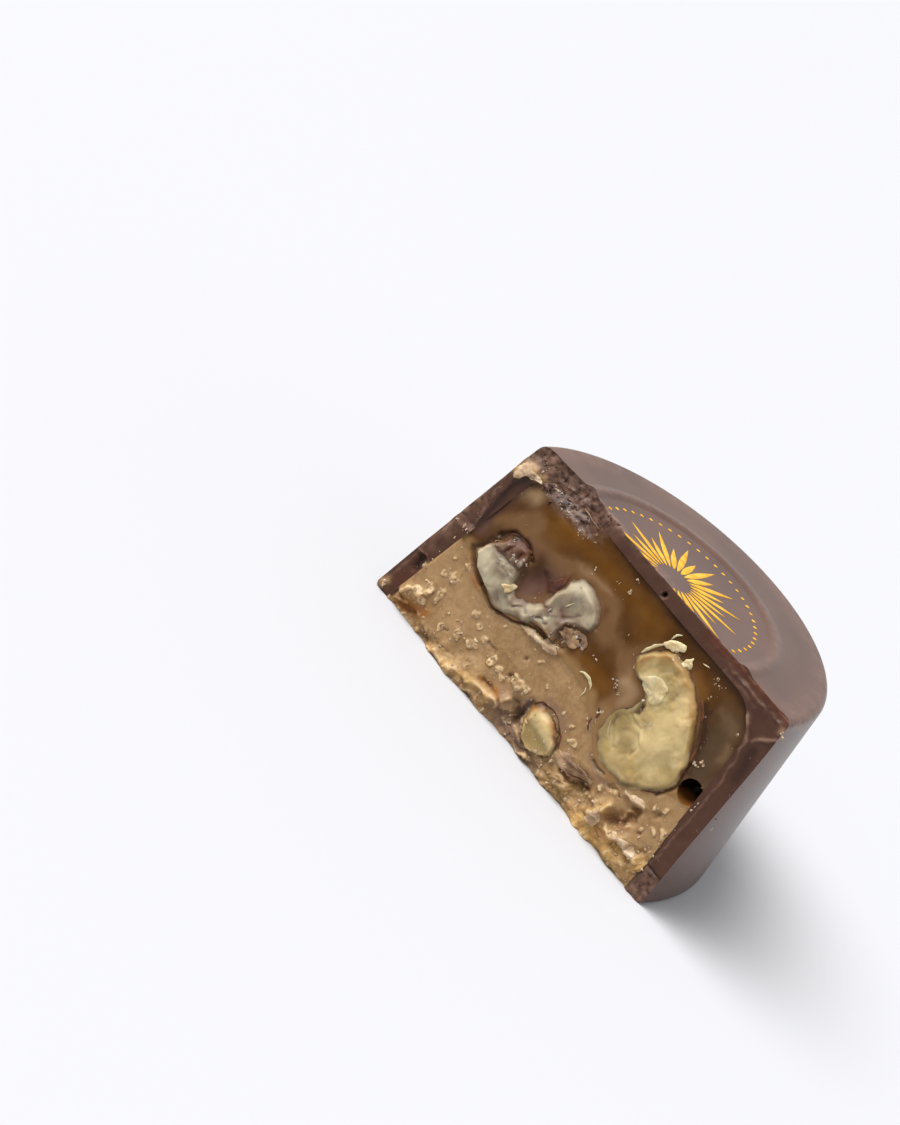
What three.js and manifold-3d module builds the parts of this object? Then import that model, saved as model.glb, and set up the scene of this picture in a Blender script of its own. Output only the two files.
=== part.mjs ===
// Half of an oval moulded chocolate, cut across its middle: a dark shell round two kinds of toffee, with pecans.
// Millimetres, +Z up. It rests on its open base, the cut faces -Y and the oval's long axis runs along Y.
import * as THREE from "three";
import { mergeVertices } from "three/addons/utils/BufferGeometryUtils.js";
import Module from "manifold-3d";

const wasm = await Module();
wasm.setup();

// The whole oval: its top face, and how far its sides lean out on the way down to the base.
const HEIGHT = 16;
const TOP_HALF_WIDTH = 13.9;
const TOP_HALF_LENGTH = 19.9;
const DRAFT = 2;
const RIM_RADIUS = 0.6;
const FOOT_RADIUS = 0.3;
const SIDES = 72;

// The raised oval line on the top face: how far in it lies, as a share of the face, and its height and width.
const RIDGE_AT = 0.64;
const RIDGE_HEIGHT = 0.18;
const RIDGE_WIDTH = 1.7;

// The shell's inside. Its ceiling comes down a little towards +X, and meets the wall in a wide round.
const WALL = 1.35;
const CEILING = 14.75;
const CEILING_SLOPE = -0.02;
const INNER_RADIUS = 3.1;
const GAP = 0.3;

// The knife's surface, y = CUT_Y + CUT_SKEW x + CUT_LEAN (z - HEIGHT / 2). Its facets are finer where it crumbled.
const CUT_Y = -3.41;
const CUT_SKEW = -0.2126;
const CUT_LEAN = 0.2035;
const SMOOTH_FACET = 1.1;
const CRUMBLY_FACET = 0.65;

// The pale toffee fills the base up to this level, and dips under the two big pecans.
const PALE_LEVEL = 7.1;
const PALE_DIPS = [
  { x: -8.0, depth: 1.7, width: 2.9 },
  { x: 6.4, depth: 3.1, width: 3.2 },
];
// It crumbles under the knife near the base, in small crumbs with some larger crags and pockets.
const CRUMBLY_BELOW = 4.2;
const CRUMB_SIZE = 1.25;
const CRUMB_DEPTH = 0.5;
const CRAGS = [
  { x: -12.6, z: 1.7, radius: 1.2, depth: 0.5 },
  { x: -8.2, z: 0.3, radius: 1.3, depth: 0.7 },
  { x: -5.4, z: 0.8, radius: 1.3, depth: 0.6 },
  { x: -3.0, z: 1.3, radius: 0.9, depth: 0.4 },
  { x: 4.3, z: 2.2, radius: 0.9, depth: 0.5 },
  { x: 8.2, z: 1.5, radius: 1.0, depth: 0.7 },
  { x: 11.2, z: 1.3, radius: 1.5, depth: 0.6 },
];
const POCKETS = [
  { x: -12.4, z: 0.4, radius: 0.8, depth: 0.7 },
  { x: -1.2, z: 1.9, radius: 0.7, depth: 0.9 },
  { x: 5.9, z: 1.8, radius: 0.7, depth: 0.7 },
  { x: 9.5, z: 2.4, radius: 0.6, depth: 0.8 },
];

// A hollow between the arms of the curved pecan, and an air bubble beside the large one.
const HOLLOW = { x: -6.8, z: 8.9, radius: 1.3, depth: 1.0 };
const BUBBLE = { x: 11.8, z: 7.55, radius: 0.95, depth: 1.9 };
// Where the shell crumbled under the knife, on the edge of the top face, and toffee smeared over it by the corner.
const CHIP = { x: -9.5, z: HEIGHT, radius: 3.2, depth: 1.1 };
const SMEAR = { x: -13.1, z: 13.7, radius: 1.1, depth: 0.7 };

// Each pecan's outline on the cut face as [x, z], how far it stands out there, and how far it runs in.
const PECANS = {
  pecan_curved: {
    outline: [
      [-11.9, 7.5], [-11.2, 6.6], [-9.7, 6.0], [-8.0, 5.5], [-6.4, 6.0], [-4.6, 6.9], [-2.9, 7.1], [-2.7, 8.7],
      [-1.2, 9.7], [-1.9, 11.2], [-3.6, 11.7], [-5.0, 11.0], [-5.3, 9.0], [-6.5, 7.4], [-7.7, 7.3], [-8.2, 8.7],
      [-8.7, 9.9], [-10.3, 9.9], [-11.1, 9.0],
    ],
    proud: 0.45,
    length: 9,
  },
  pecan_large: {
    outline: [
      [2.5, 10.4], [4.3, 9.8], [4.8, 8.8], [4.0, 7.2], [4.1, 5.6], [5.2, 4.5], [7.2, 4.3], [9.2, 5.1],
      [10.8, 7.0], [10.0, 9.2], [8.4, 11.4], [6.4, 12.7], [4.2, 13.0], [2.8, 11.8],
    ],
    proud: 0.25,
    length: 12,
  },
  pecan_small: {
    outline: [
      [-0.3, 1.7], [0.6, 0.9], [1.8, 0.9], [2.8, 1.6], [2.9, 2.4], [2.0, 3.3], [0.6, 3.9], [-0.6, 3.4],
    ],
    proud: 0.3,
    length: 5,
  },
};
const OUTLINE_STEPS = 2;

// ---- shared shaping ----

function toSolid(geometry) {
  const bare = geometry.clone();
  bare.deleteAttribute("normal");
  bare.deleteAttribute("uv");
  const merged = mergeVertices(bare, 1e-4);
  return new wasm.Manifold(
    new wasm.Mesh({
      numProp: 3,
      vertProperties: new Float32Array(merged.attributes.position.array),
      triVerts: new Uint32Array(merged.index.array),
    }),
  );
}

function toMesh(name, body, material) {
  const { vertProperties, triVerts } = body.getMesh();
  const geometry = new THREE.BufferGeometry();
  geometry.setAttribute("position", new THREE.BufferAttribute(new Float32Array(vertProperties), 3));
  geometry.setIndex(new THREE.BufferAttribute(new Uint32Array(triVerts), 1));
  geometry.computeVertexNormals();
  const mesh = new THREE.Mesh(geometry, new THREE.MeshStandardMaterial(material));
  mesh.name = name;
  return mesh;
}

// Moves each vertex of a geometry to the place that shape(point) gives it.
function reshape(geometry, shape) {
  const position = geometry.attributes.position;
  const point = new THREE.Vector3();
  for (let i = 0; i < position.count; i++) {
    shape(point.fromBufferAttribute(position, i));
    position.setXYZ(i, point.x, point.y, point.z);
  }
  return geometry;
}

// A repeatable number from -1 to 1 for each point of a lattice, and the smooth bumps between such points.
function lattice(i, j) {
  let h = Math.imul(i, 374761393) + Math.imul(j, 668265263);
  h = Math.imul(h ^ (h >>> 13), 1274126177);
  return ((h ^ (h >>> 16)) >>> 0) / 2 ** 31 - 1;
}

function bumps(x, z, size) {
  const i = Math.floor(x / size);
  const j = Math.floor(z / size);
  const u = THREE.MathUtils.smoothstep(x / size - i, 0, 1);
  const v = THREE.MathUtils.smoothstep(z / size - j, 0, 1);
  const low = THREE.MathUtils.lerp(lattice(i, j), lattice(i + 1, j), u);
  const high = THREE.MathUtils.lerp(lattice(i, j + 1), lattice(i + 1, j + 1), u);
  return THREE.MathUtils.lerp(low, high, v);
}

function dome(x, z, { x: cx, z: cz, radius, depth }) {
  return depth * Math.exp(-((x - cx) ** 2 + (z - cz) ** 2) / radius ** 2);
}

function domes(x, z, list) {
  return list.reduce((sum, item) => sum + dome(x, z, item), 0);
}

function cutAt(x, z) {
  return CUT_Y + CUT_SKEW * x + CUT_LEAN * (z - HEIGHT / 2);
}

// ---- the oval mould ----

// Revolves a profile of [radius across, z] and draws it out along Y into the oval.
function ovalSolid(profile) {
  const points = profile.map(([radius, z]) => new THREE.Vector2(radius, z));
  const stretch = TOP_HALF_LENGTH - TOP_HALF_WIDTH;
  const geometry = new THREE.LatheGeometry(points, SIDES).rotateX(Math.PI / 2);
  reshape(geometry, (p) => {
    const radius = Math.hypot(p.x, p.y);
    if (radius > 0) p.y *= 1 + (stretch * Math.min(1, radius / TOP_HALF_WIDTH)) / radius;
  });
  return geometry;
}

// The points of a quarter round between two directions, as [radius, z] pairs.
function quarterRound(centre, radius, from, to, steps) {
  return Array.from({ length: steps + 1 }, (_, i) => {
    const angle = THREE.MathUtils.lerp(from, to, i / steps);
    return [centre[0] + radius * Math.cos(angle), centre[1] + radius * Math.sin(angle)];
  });
}

function mouldProfile() {
  const face = HEIGHT - RIDGE_HEIGHT;
  const ridge = RIDGE_AT * TOP_HALF_WIDTH;
  const outer = [
    [0, 0],
    [TOP_HALF_WIDTH + DRAFT - FOOT_RADIUS, 0],
    [TOP_HALF_WIDTH + DRAFT, FOOT_RADIUS],
    ...quarterRound([TOP_HALF_WIDTH - RIM_RADIUS, face - RIM_RADIUS], RIM_RADIUS, 0.1, Math.PI / 2, 3),
  ];
  const crest = [1, 0.5, 0, -0.5, -1].map((across) => [
    ridge + (across * RIDGE_WIDTH) / 2,
    face + RIDGE_HEIGHT * (1 - across ** 2) ** 2,
  ]);
  return [...outer, ...crest, [0, face]];
}

// The space inside the shell, made smaller all round by a clearance.
function insideSolid(clearance) {
  const base = TOP_HALF_WIDTH + DRAFT - WALL - clearance;
  const top = TOP_HALF_WIDTH - WALL - clearance;
  const ceiling = CEILING - clearance;
  const profile = [
    [0, clearance > 0 ? 0 : -1],
    [base, clearance > 0 ? 0 : -1],
    ...quarterRound([top - INNER_RADIUS, ceiling - INNER_RADIUS], INNER_RADIUS, 0.1, Math.PI / 2, 4),
    [0, ceiling],
  ];
  return reshape(ovalSolid(profile), (p) => {
    p.z += CEILING_SLOPE * p.x * THREE.MathUtils.smoothstep(p.z, 0, CEILING);
  });
}

// ---- the knife ----

// A block in front of the cut, whose back follows the knife and stands out by relief(x, z).
function knife(relief, facet) {
  const width = 2 * (TOP_HALF_WIDTH + DRAFT) + 2;
  const height = HEIGHT + 2;
  const front = -30;
  const block = new THREE.BoxGeometry(width, 1, height, Math.round(width / facet), 1, Math.round(height / facet));
  return toSolid(
    reshape(block, (p) => {
      p.z += HEIGHT / 2;
      p.y = p.y > 0 ? cutAt(p.x, p.z) - relief(p.x, p.z) : front;
    }),
  );
}

function shellRelief(x, z) {
  const chipped = dome(x, z, CHIP);
  return 0.1 * bumps(x, z, 2.2) - chipped * (1 + 0.6 * bumps(x, z, 1.1)) + dome(x, z, SMEAR);
}

function amberRelief(x, z) {
  return 0.15 * bumps(x, z, 3.5) - dome(x, z, HOLLOW);
}

function paleRelief(x, z) {
  const crumbly = 1 - THREE.MathUtils.smoothstep(z, CRUMBLY_BELOW / 3, CRUMBLY_BELOW);
  const crumbs = crumbly * CRUMB_DEPTH * (0.2 + bumps(x, z, CRUMB_SIZE));
  return 0.15 * bumps(x, z, 3.5) + crumbs + domes(x, z, CRAGS) - domes(x, z, POCKETS);
}

// ---- the toffee ----

// A block under the pale toffee's upper face, lifted by a clearance.
function underLayer(clearance) {
  const width = 2 * (TOP_HALF_WIDTH + DRAFT) + 2;
  const length = 2 * (TOP_HALF_LENGTH + DRAFT) + 2;
  const block = new THREE.BoxGeometry(width, length, 1, 24, 6, 1);
  return toSolid(
    reshape(block, (p) => {
      const dips = PALE_DIPS.reduce((sum, dip) => sum + dip.depth * Math.exp(-(((p.x - dip.x) / dip.width) ** 2)), 0);
      p.z = p.z > 0 ? PALE_LEVEL - dips + 0.4 * Math.sin(p.y / 3) + clearance : -2;
    }),
  );
}

function bubble() {
  const { x, z, radius, depth } = BUBBLE;
  const ball = new THREE.SphereGeometry(1, 12, 8).scale(radius, depth, radius);
  return toSolid(ball.translate(x, cutAt(x, z), z));
}

// ---- the pecans ----

// A pecan's outline drawn inwards from the cut, narrowing to a rounded end, and larger all round by a clearance.
function pecanSolid({ outline, proud, length }, clearance) {
  const loop = new THREE.SplineCurve(outline.map(([x, z]) => new THREE.Vector2(x, z)));
  loop.points.push(loop.points[0].clone());
  const ring = loop.getPoints(outline.length * OUTLINE_STEPS).slice(0, -1);
  const grown = ring.map((p, i) => {
    const along = ring[(i + 1) % ring.length].clone().sub(ring[(i + ring.length - 1) % ring.length]).normalize();
    return new THREE.Vector2(p.x + along.y * clearance, p.y - along.x * clearance);
  });
  const centre = ring.reduce((sum, p) => sum.add(p), new THREE.Vector2()).divideScalar(ring.length);
  const stations = [-proud - 1, 0, 0.3, 0.55, 0.75, 0.9, 1];
  const sections = stations.map((share) => {
    const inward = share > 0 ? share * (length + clearance) : share;
    const scale = share > 0 ? Math.sqrt(1 - 0.88 * share ** 2) : 1;
    return grown.map((p) => {
      const x = centre.x + (p.x - centre.x) * scale;
      const z = centre.y + (p.y - centre.y) * scale;
      return [x, cutAt(x, z) + inward, z];
    });
  });
  const geometry = new THREE.BufferGeometry();
  geometry.setAttribute("position", new THREE.Float32BufferAttribute(sections.flat(2), 3));
  const n = ring.length;
  const index = [];
  for (let s = 0; s + 1 < sections.length; s++)
    for (let i = 0; i < n; i++) {
      const j = (i + 1) % n;
      const [a, b, c, d] = [s * n + i, s * n + j, (s + 1) * n + j, (s + 1) * n + i];
      index.push(a, c, b, a, d, c);
    }
  const last = (sections.length - 1) * n;
  for (const [a, b, c] of THREE.ShapeUtils.triangulateShape(grown, [])) {
    index.push(a, b, c);
    index.push(last + a, last + c, last + b);
  }
  geometry.setIndex(index);
  return toSolid(geometry);
}

// ---- assembly ----

const mould = toSolid(ovalSolid(mouldProfile()));
const shell = mould.subtract(toSolid(insideSolid(0))).subtract(knife(shellRelief, SMOOTH_FACET));

const inside = toSolid(insideSolid(GAP));
const pockets = Object.values(PECANS).map((pecan) => pecanSolid(pecan, GAP));
const filling = [...pockets, bubble()].reduce((body, hole) => body.subtract(hole), inside);
const paleToffee = filling.intersect(underLayer(0)).subtract(knife(paleRelief, CRUMBLY_FACET));
const amberToffee = filling.subtract(underLayer(GAP)).subtract(knife(amberRelief, SMOOTH_FACET));

const pieces = [
  toMesh("chocolate_shell", shell, { color: 0x4a2e29, roughness: 0.42, metalness: 0 }),
  toMesh("toffee_pale", paleToffee, { color: 0xa98a5e, roughness: 0.6, metalness: 0 }),
  toMesh("toffee_amber", amberToffee, { color: 0x6b4a1c, roughness: 0.35, metalness: 0 }),
];
for (const [name, pecan] of Object.entries(PECANS)) {
  const relief = (x, z) => pecan.proud + 0.2 * bumps(x, z, 1.6);
  const kernel = pecanSolid(pecan, 0).intersect(inside).subtract(knife(relief, SMOOTH_FACET));
  pieces.push(toMesh(name, kernel, { color: 0xc8b27a, roughness: 0.55, metalness: 0 }));
}

const chocolate = new THREE.Group();
chocolate.add(...pieces);
const box = new THREE.Box3().setFromObject(chocolate);
const middle = box.getCenter(new THREE.Vector3());
chocolate.position.set(-middle.x, -middle.y, -box.min.z);

const part = new THREE.Group();
part.add(chocolate);
export default part;
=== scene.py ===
"""Half of an oval pecan toffee chocolate, cut across its middle, on a white table.
Lengths are millimetres in the oval's own frame: x along the cut, y into the piece and z up, from the middle
of the oval's base."""

import math

import bmesh
import bpy
import numpy as np
from mathutils import Matrix, Vector


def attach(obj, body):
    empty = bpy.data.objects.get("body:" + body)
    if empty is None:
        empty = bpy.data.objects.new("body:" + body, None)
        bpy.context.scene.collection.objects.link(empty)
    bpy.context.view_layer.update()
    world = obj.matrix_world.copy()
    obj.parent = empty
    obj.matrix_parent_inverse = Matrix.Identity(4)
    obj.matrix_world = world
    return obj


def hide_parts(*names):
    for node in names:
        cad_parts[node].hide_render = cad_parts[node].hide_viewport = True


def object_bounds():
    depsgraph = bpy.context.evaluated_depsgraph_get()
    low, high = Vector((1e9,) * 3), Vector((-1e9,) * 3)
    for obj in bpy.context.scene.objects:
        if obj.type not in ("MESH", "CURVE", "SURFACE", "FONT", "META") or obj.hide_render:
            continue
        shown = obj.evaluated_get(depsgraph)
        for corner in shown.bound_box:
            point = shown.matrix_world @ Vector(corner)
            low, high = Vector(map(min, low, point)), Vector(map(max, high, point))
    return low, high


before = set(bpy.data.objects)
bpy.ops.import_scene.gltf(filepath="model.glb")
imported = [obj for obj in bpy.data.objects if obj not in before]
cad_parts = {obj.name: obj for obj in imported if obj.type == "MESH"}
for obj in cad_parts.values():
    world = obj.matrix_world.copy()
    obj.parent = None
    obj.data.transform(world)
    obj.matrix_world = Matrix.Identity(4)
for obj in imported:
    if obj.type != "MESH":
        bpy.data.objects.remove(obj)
cad_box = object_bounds()

# ---- the chocolate shell ----
# The moulded shell: a shiny dark skin with a raised oval line on its top face, cut through by a knife.
# It is the mould's solid less the filling's space, cut by a fine height field that follows the knife.

MM = 0.001
HEIGHT = 16.0
TOP_HALF_WIDTH = 13.9
TOP_HALF_LENGTH = 19.9
DRAFT = 2.0
RIM_RADIUS = 0.6
FOOT_RADIUS = 0.3
RIDGE_AT = 0.64
RIDGE_HEIGHT = 0.18
RIDGE_WIDTH = 1.7
FACE = HEIGHT - RIDGE_HEIGHT
WALL = 1.35
CEILING = 14.75
CEILING_SLOPE = -0.02
INNER_RADIUS = 3.1
CUT_Y = -3.41
CUT_SKEW = -0.2126
CUT_LEAN = 0.2035
OVAL_SIDES = 288
KNIFE_STEP = 0.1
ON_KNIFE = 0.04
SHARP_ANGLE = math.radians(48)
CENTRE_Y = cad_box[1].y / MM - TOP_HALF_LENGTH - DRAFT


def new_piece(name, points, faces):
    """An object whose mesh has these points, in millimetres, moved into the frame in metres."""
    mesh = bpy.data.meshes.new(name)
    placed = (np.asarray(points, float) + [0, CENTRE_Y, 0]) * MM
    mesh.from_pydata(placed.tolist(), [], [list(map(int, face)) for face in faces])
    mesh.update()
    piece = bpy.data.objects.new(name, mesh)
    bpy.context.scene.collection.objects.link(piece)
    return piece


def face_outwards(piece):
    """Turns all the faces of a closed mesh outwards, and splits those with many sides."""
    work = bmesh.new()
    work.from_mesh(piece.data)
    bmesh.ops.triangulate(work, faces=[face for face in work.faces if len(face.verts) > 4])
    bmesh.ops.recalc_face_normals(work, faces=work.faces)
    work.to_mesh(piece.data)
    work.free()
    return piece


def settle(piece, step):
    """Makes what a modifier gives the piece's own mesh, and takes the modifier off."""
    bpy.context.view_layer.update()
    result = bpy.data.meshes.new_from_object(piece.evaluated_get(bpy.context.evaluated_depsgraph_get()))
    piece.modifiers.remove(step)
    old = piece.data
    name = old.name
    piece.data = result
    bpy.data.meshes.remove(old)
    result.name = name


def carve(piece, tool, operation="DIFFERENCE"):
    """Cuts the piece with a closed mesh, or keeps only what lies inside it, and takes the tool away."""
    step = piece.modifiers.new("carve", "BOOLEAN")
    step.operation = operation
    step.solver = "MANIFOLD"
    step.object = tool
    settle(piece, step)
    piece.data.materials.clear()
    tool_mesh = tool.data
    bpy.data.objects.remove(tool)
    bpy.data.meshes.remove(tool_mesh)


def points_of(piece):
    """The piece's points back in millimetres of the oval's frame."""
    flat = np.zeros(len(piece.data.vertices) * 3)
    piece.data.vertices.foreach_get("co", flat)
    return flat.reshape(-1, 3) / MM - [0, CENTRE_Y, 0]


def loft(rings):
    """The points and faces of a closed body through rings of equal length. A ring of one point closes it."""
    points = np.concatenate(rings)
    starts = np.cumsum([0] + [len(ring) for ring in rings])
    faces = []
    for k in range(len(rings) - 1):
        a, b = starts[k], starts[k + 1]
        n = max(len(rings[k]), len(rings[k + 1]))
        for i in range(n):
            j = (i + 1) % n
            if len(rings[k]) == 1:
                faces.append((a, b + j, b + i))
            elif len(rings[k + 1]) == 1:
                faces.append((a + i, a + j, b))
            else:
                faces.append((a + i, a + j, b + j, b + i))
    return points, faces


def oval_ring(radius, z):
    """One ring of the oval, drawn out along y as the mould is."""
    if radius == 0:
        return np.array([[0.0, 0.0, z]])
    turn = np.linspace(0, 2 * math.pi, OVAL_SIDES, endpoint=False)
    stretch = (TOP_HALF_LENGTH - TOP_HALF_WIDTH) * min(1, radius / TOP_HALF_WIDTH)
    return np.stack([radius * np.cos(turn), (radius + stretch) * np.sin(turn), np.full_like(turn, z)], 1)


def quarter_round(radius_at, z_at, size, start, steps):
    """Points [radius, z] of a rounded corner, from the side up to the face."""
    turn = np.linspace(start, math.pi / 2, steps + 1)
    return [(radius_at + size * math.cos(t), z_at + size * math.sin(t)) for t in turn]


def mould():
    """The whole moulded piece, before it is hollowed and cut."""
    base = TOP_HALF_WIDTH + DRAFT
    ridge = RIDGE_AT * TOP_HALF_WIDTH
    rim = quarter_round(TOP_HALF_WIDTH - RIM_RADIUS, FACE - RIM_RADIUS, RIM_RADIUS, 0.1, 7)
    right, up = rim[0]
    side = [(base + (right - base) * t, FOOT_RADIUS + (up - FOOT_RADIUS) * t) for t in (0.33, 0.66)]
    foot = [(0, 0), (base - FOOT_RADIUS, 0), (base - 0.09, 0.09), (base, FOOT_RADIUS), (base - 0.05, 0.7)]
    outer = [*foot, *side, (right + 0.06, up - 0.45), *rim, (TOP_HALF_WIDTH - RIM_RADIUS - 0.4, FACE)]
    across = np.linspace(1, -1, 15)
    crest = [(ridge + a * RIDGE_WIDTH / 2, FACE + RIDGE_HEIGHT * (1 - a * a) ** 2) for a in across]
    profile = [*outer, (11.5, FACE), *crest, (4, FACE), (0, FACE)]
    return face_outwards(new_piece("mould", *loft([oval_ring(r, z) for r, z in profile])))


def inside(clearance):
    """The space inside the shell, made smaller all round by a clearance."""
    base = TOP_HALF_WIDTH + DRAFT - WALL - clearance
    top = TOP_HALF_WIDTH - WALL - clearance
    ceiling = CEILING - clearance
    floor = 0.0 if clearance > 0 else -1.0
    corner = quarter_round(top - INNER_RADIUS, ceiling - INNER_RADIUS, INNER_RADIUS, 0.1, 12)
    profile = [(0, floor), (base, floor), *corner, (0, ceiling)]
    points, faces = loft([oval_ring(r, z) for r, z in profile])
    rise = np.clip(points[:, 2] / CEILING, 0, 1)
    points[:, 2] += CEILING_SLOPE * points[:, 0] * rise * rise * (3 - 2 * rise)
    return face_outwards(new_piece("inside", points, faces))


def lattice(i, j):
    """A repeatable number from -1 to 1 for each point of a lattice of whole numbers."""
    h = (i.astype(np.int64) * 374761393 + j.astype(np.int64) * 668265263).astype(np.uint32)
    h = (h ^ (h >> np.uint32(13))) * np.uint32(1274126177)
    return (h ^ (h >> np.uint32(16))) / 2.0**31 - 1


def bumps(x, z, size, seed=0):
    """Smooth bumps from -1 to 1 between the points of a lattice of that size."""
    i, j = np.floor(x / size), np.floor(z / size)
    u, v = x / size - i, z / size - j
    u, v = u * u * (3 - 2 * u), v * v * (3 - 2 * v)
    i, j = i + 131 * seed, j + 57 * seed
    low = lattice(i, j) * (1 - u) + lattice(i + 1, j) * u
    high = lattice(i, j + 1) * (1 - u) + lattice(i + 1, j + 1) * u
    return low * (1 - v) + high * v


def rough(x, z, size, seed, octaves=3):
    """Bumps on bumps, each half the size and height of the one before."""
    return sum(bumps(x, z, size / 2**k, seed + k) / 2**k for k in range(octaves))


def chunks(x, z, size, seed):
    """Broken chunks side by side: 1 on a chunk and 0 in the creases, and each chunk's own -1 to 1."""
    i, j = np.floor(x / size), np.floor(z / size)
    nearest = np.full(np.shape(x), 9.0)
    second = np.full(np.shape(x), 9.0)
    own = np.zeros(np.shape(x))
    for di in (-1, 0, 1):
        for dj in (-1, 0, 1):
            p, q = i + di + 131 * seed, j + dj + 57 * seed
            cx = i + di + 0.5 + 0.42 * lattice(p, q)
            cz = j + dj + 0.5 + 0.42 * lattice(q, p + 7)
            d = np.hypot(x / size - cx, z / size - cz)
            own = np.where(d < nearest, lattice(p + 19, q + 5), own)
            second = np.minimum(second, np.maximum(nearest, d))
            nearest = np.minimum(nearest, d)
    return np.clip((second - nearest) * 1.6, 0, 1) ** 0.6, own


def broken(x, z, size, seed, crease=0.4):
    """The height of a broken surface: chunks at their own levels, with creases between them."""
    rounded, own = chunks(x, z, size, seed)
    return (1 - crease) * own + crease * (2 * rounded - 1)


def warp(x, z, size, amount, seed):
    """Pushes places about a little, so that a painted edge isn't even."""
    return x + amount * rough(x, z, size, seed), z + amount * rough(x, z, size, seed + 9)


def smooth(value, low, high):
    """Runs smoothly from 0 to 1 as the value goes from low to high."""
    t = np.clip((value - low) / (high - low), 0, 1)
    return t * t * (3 - 2 * t)


def distance(x, z, path):
    """How far each point is from a line through the points of a path."""
    best = np.full(np.shape(x), 1e9)
    ends = zip(path, path[1:]) if len(path) > 1 else [(path[0], path[0])]
    for (ax, az), (bx, bz) in ends:
        length = (bx - ax) ** 2 + (bz - az) ** 2
        t = np.clip(((x - ax) * (bx - ax) + (z - az) * (bz - az)) / length, 0, 1) if length else 0
        best = np.minimum(best, np.hypot(x - ax - t * (bx - ax), z - az - t * (bz - az)))
    return best


def strokes(x, z, marks):
    """The sum of soft strokes. Each mark is a path, the stroke's half width, and its height at the middle."""
    total = np.zeros(np.shape(x))
    for path, width, height in marks:
        total += height * np.exp(-((distance(x, z, path) / width) ** 2))
    return total


def cut_at(x, z):
    """Where the knife's plane lies along y."""
    return CUT_Y + CUT_SKEW * x + CUT_LEAN * (z - HEIGHT / 2)


def grid_faces(grid):
    """The square faces between the points of a grid."""
    return np.stack([grid[:-1, :-1], grid[:-1, 1:], grid[1:, 1:], grid[1:, :-1]], 2).reshape(-1, 4).tolist()


def grid_edge(grid):
    """The points along a grid's edge, in turn."""
    return np.concatenate([grid[0, :-1], grid[:-1, -1], grid[-1, :0:-1], grid[:0:-1, 0]])


def knife(relief, low=(-17.0, -1.0), high=(17.0, 17.0), step=KNIFE_STEP):
    """A block in front of the cut, whose back follows the knife and stands out by relief(x, z)."""
    columns = round((high[0] - low[0]) / step) + 1
    rows = round((high[1] - low[1]) / step) + 1
    x, z = np.meshgrid(np.linspace(low[0], high[0], columns), np.linspace(low[1], high[1], rows))
    back = np.stack([x, cut_at(x, z) - relief(x, z), z], 2).reshape(-1, 3)
    grid = np.arange(rows * columns).reshape(rows, columns)
    faces = grid_faces(grid)
    edge = grid_edge(grid)
    front = back[edge] * [1, 0, 1] + [0, -30, 0]
    first = len(back)
    middle = first + len(edge)
    for i in range(len(edge)):
        j = (i + 1) % len(edge)
        faces.append((edge[i], edge[j], first + j, first + i))
        faces.append((first + i, first + j, middle))
    centre = [[(low[0] + high[0]) / 2, -30, (low[1] + high[1]) / 2]]
    return face_outwards(new_piece("knife", np.concatenate([back, front, centre]), faces))


# Marks on the shell's cut: path, half width, height.
SHELL_CHIP = [([(-9.5, 16.0)], 3.2, -1.1)]
SHELL_SMEAR = [([(-13.1, 13.7)], 1.1, 0.7)]
SHELL_MARKS = [
    ([(-15.2, 7.6), (-13.2, 7.6)], 0.3, 0.2),
    ([(-15.0, 8.1), (-13.2, 8.05)], 0.12, -0.12),
    ([(-15.1, 4.15), (-13.9, 4.05)], 0.12, 0.14),
    ([(-14.6, 3.7), (-14.4, 3.1)], 0.34, -0.35),
    ([(-15.3, 0.5)], 0.5, 0.3),
    ([(-7.0, 16.1), (-5.0, 16.1)], 0.35, -0.4),
    ([(5.0, 15.75), (13.6, 15.75)], 0.42, -0.12),
    ([(7.0, 15.2), (13.2, 15.2)], 0.09, 0.08),
    ([(13.6, 14.3), (12.6, 13.5), (12.4, 13.0)], 0.13, 0.14),
    ([(13.3, 14.9)], 0.35, 0.2),
    ([(10.9, 14.0), (12.1, 12.7)], 0.16, 0.18),
    ([(12.1, 12.7), (12.75, 10.0), (13.15, 6.0), (13.45, 1.5)], 0.14, 0.04),
    ([(13.0, 2.3), (14.6, 2.2)], 0.08, -0.14),
    ([(-13.7, 11.0), (-13.7, 13.0)], 0.12, 0.1),
    ([(0.6, 15.25)], 0.17, -0.8),
]


def shell_crumbled(x, z):
    """Where the shell crumbled: along the top edge at the left, and at the foot on the right."""
    top = smooth(z + 0.25 * bumps(x, z, 0.9, 12), 13.35, 13.9) * smooth(-x, 4.5, 7.5)
    foot = smooth(x, 12.8, 13.6) * smooth(-z, -2.3, -1.6)
    edge = 0.5 * smooth(z, 15.3, 15.8) * smooth(-x, -2.0, 3.0)
    return np.clip(top + foot + edge, 0, 1)


def crumbly(x, z):
    """The relief of crumbled chocolate."""
    wx, wz = warp(x, z, 0.6, 0.15, 10)
    return 0.09 * broken(wx / 1.5, wz, 0.6, 3) + 0.035 * broken(wx, wz, 0.3, 4) + 0.1 * rough(x, z, 0.9, 5)


def shell_relief(x, z):
    """The relief of the shell's cut."""
    chip = strokes(x, z, SHELL_CHIP) * (1 + 0.6 * bumps(x, z, 1.1))
    marks = strokes(*warp(x, z, 0.9, 0.16, 8), SHELL_MARKS) * (0.75 + 0.5 * bumps(x, z, 0.7, 9))
    plain = 0.1 * bumps(x, z, 2.2) + chip + strokes(x, z, SHELL_SMEAR) + marks
    return plain + shell_crumbled(x, z) * crumbly(x, z) + 0.012 * rough(x, z, 0.5, 6)


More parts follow.
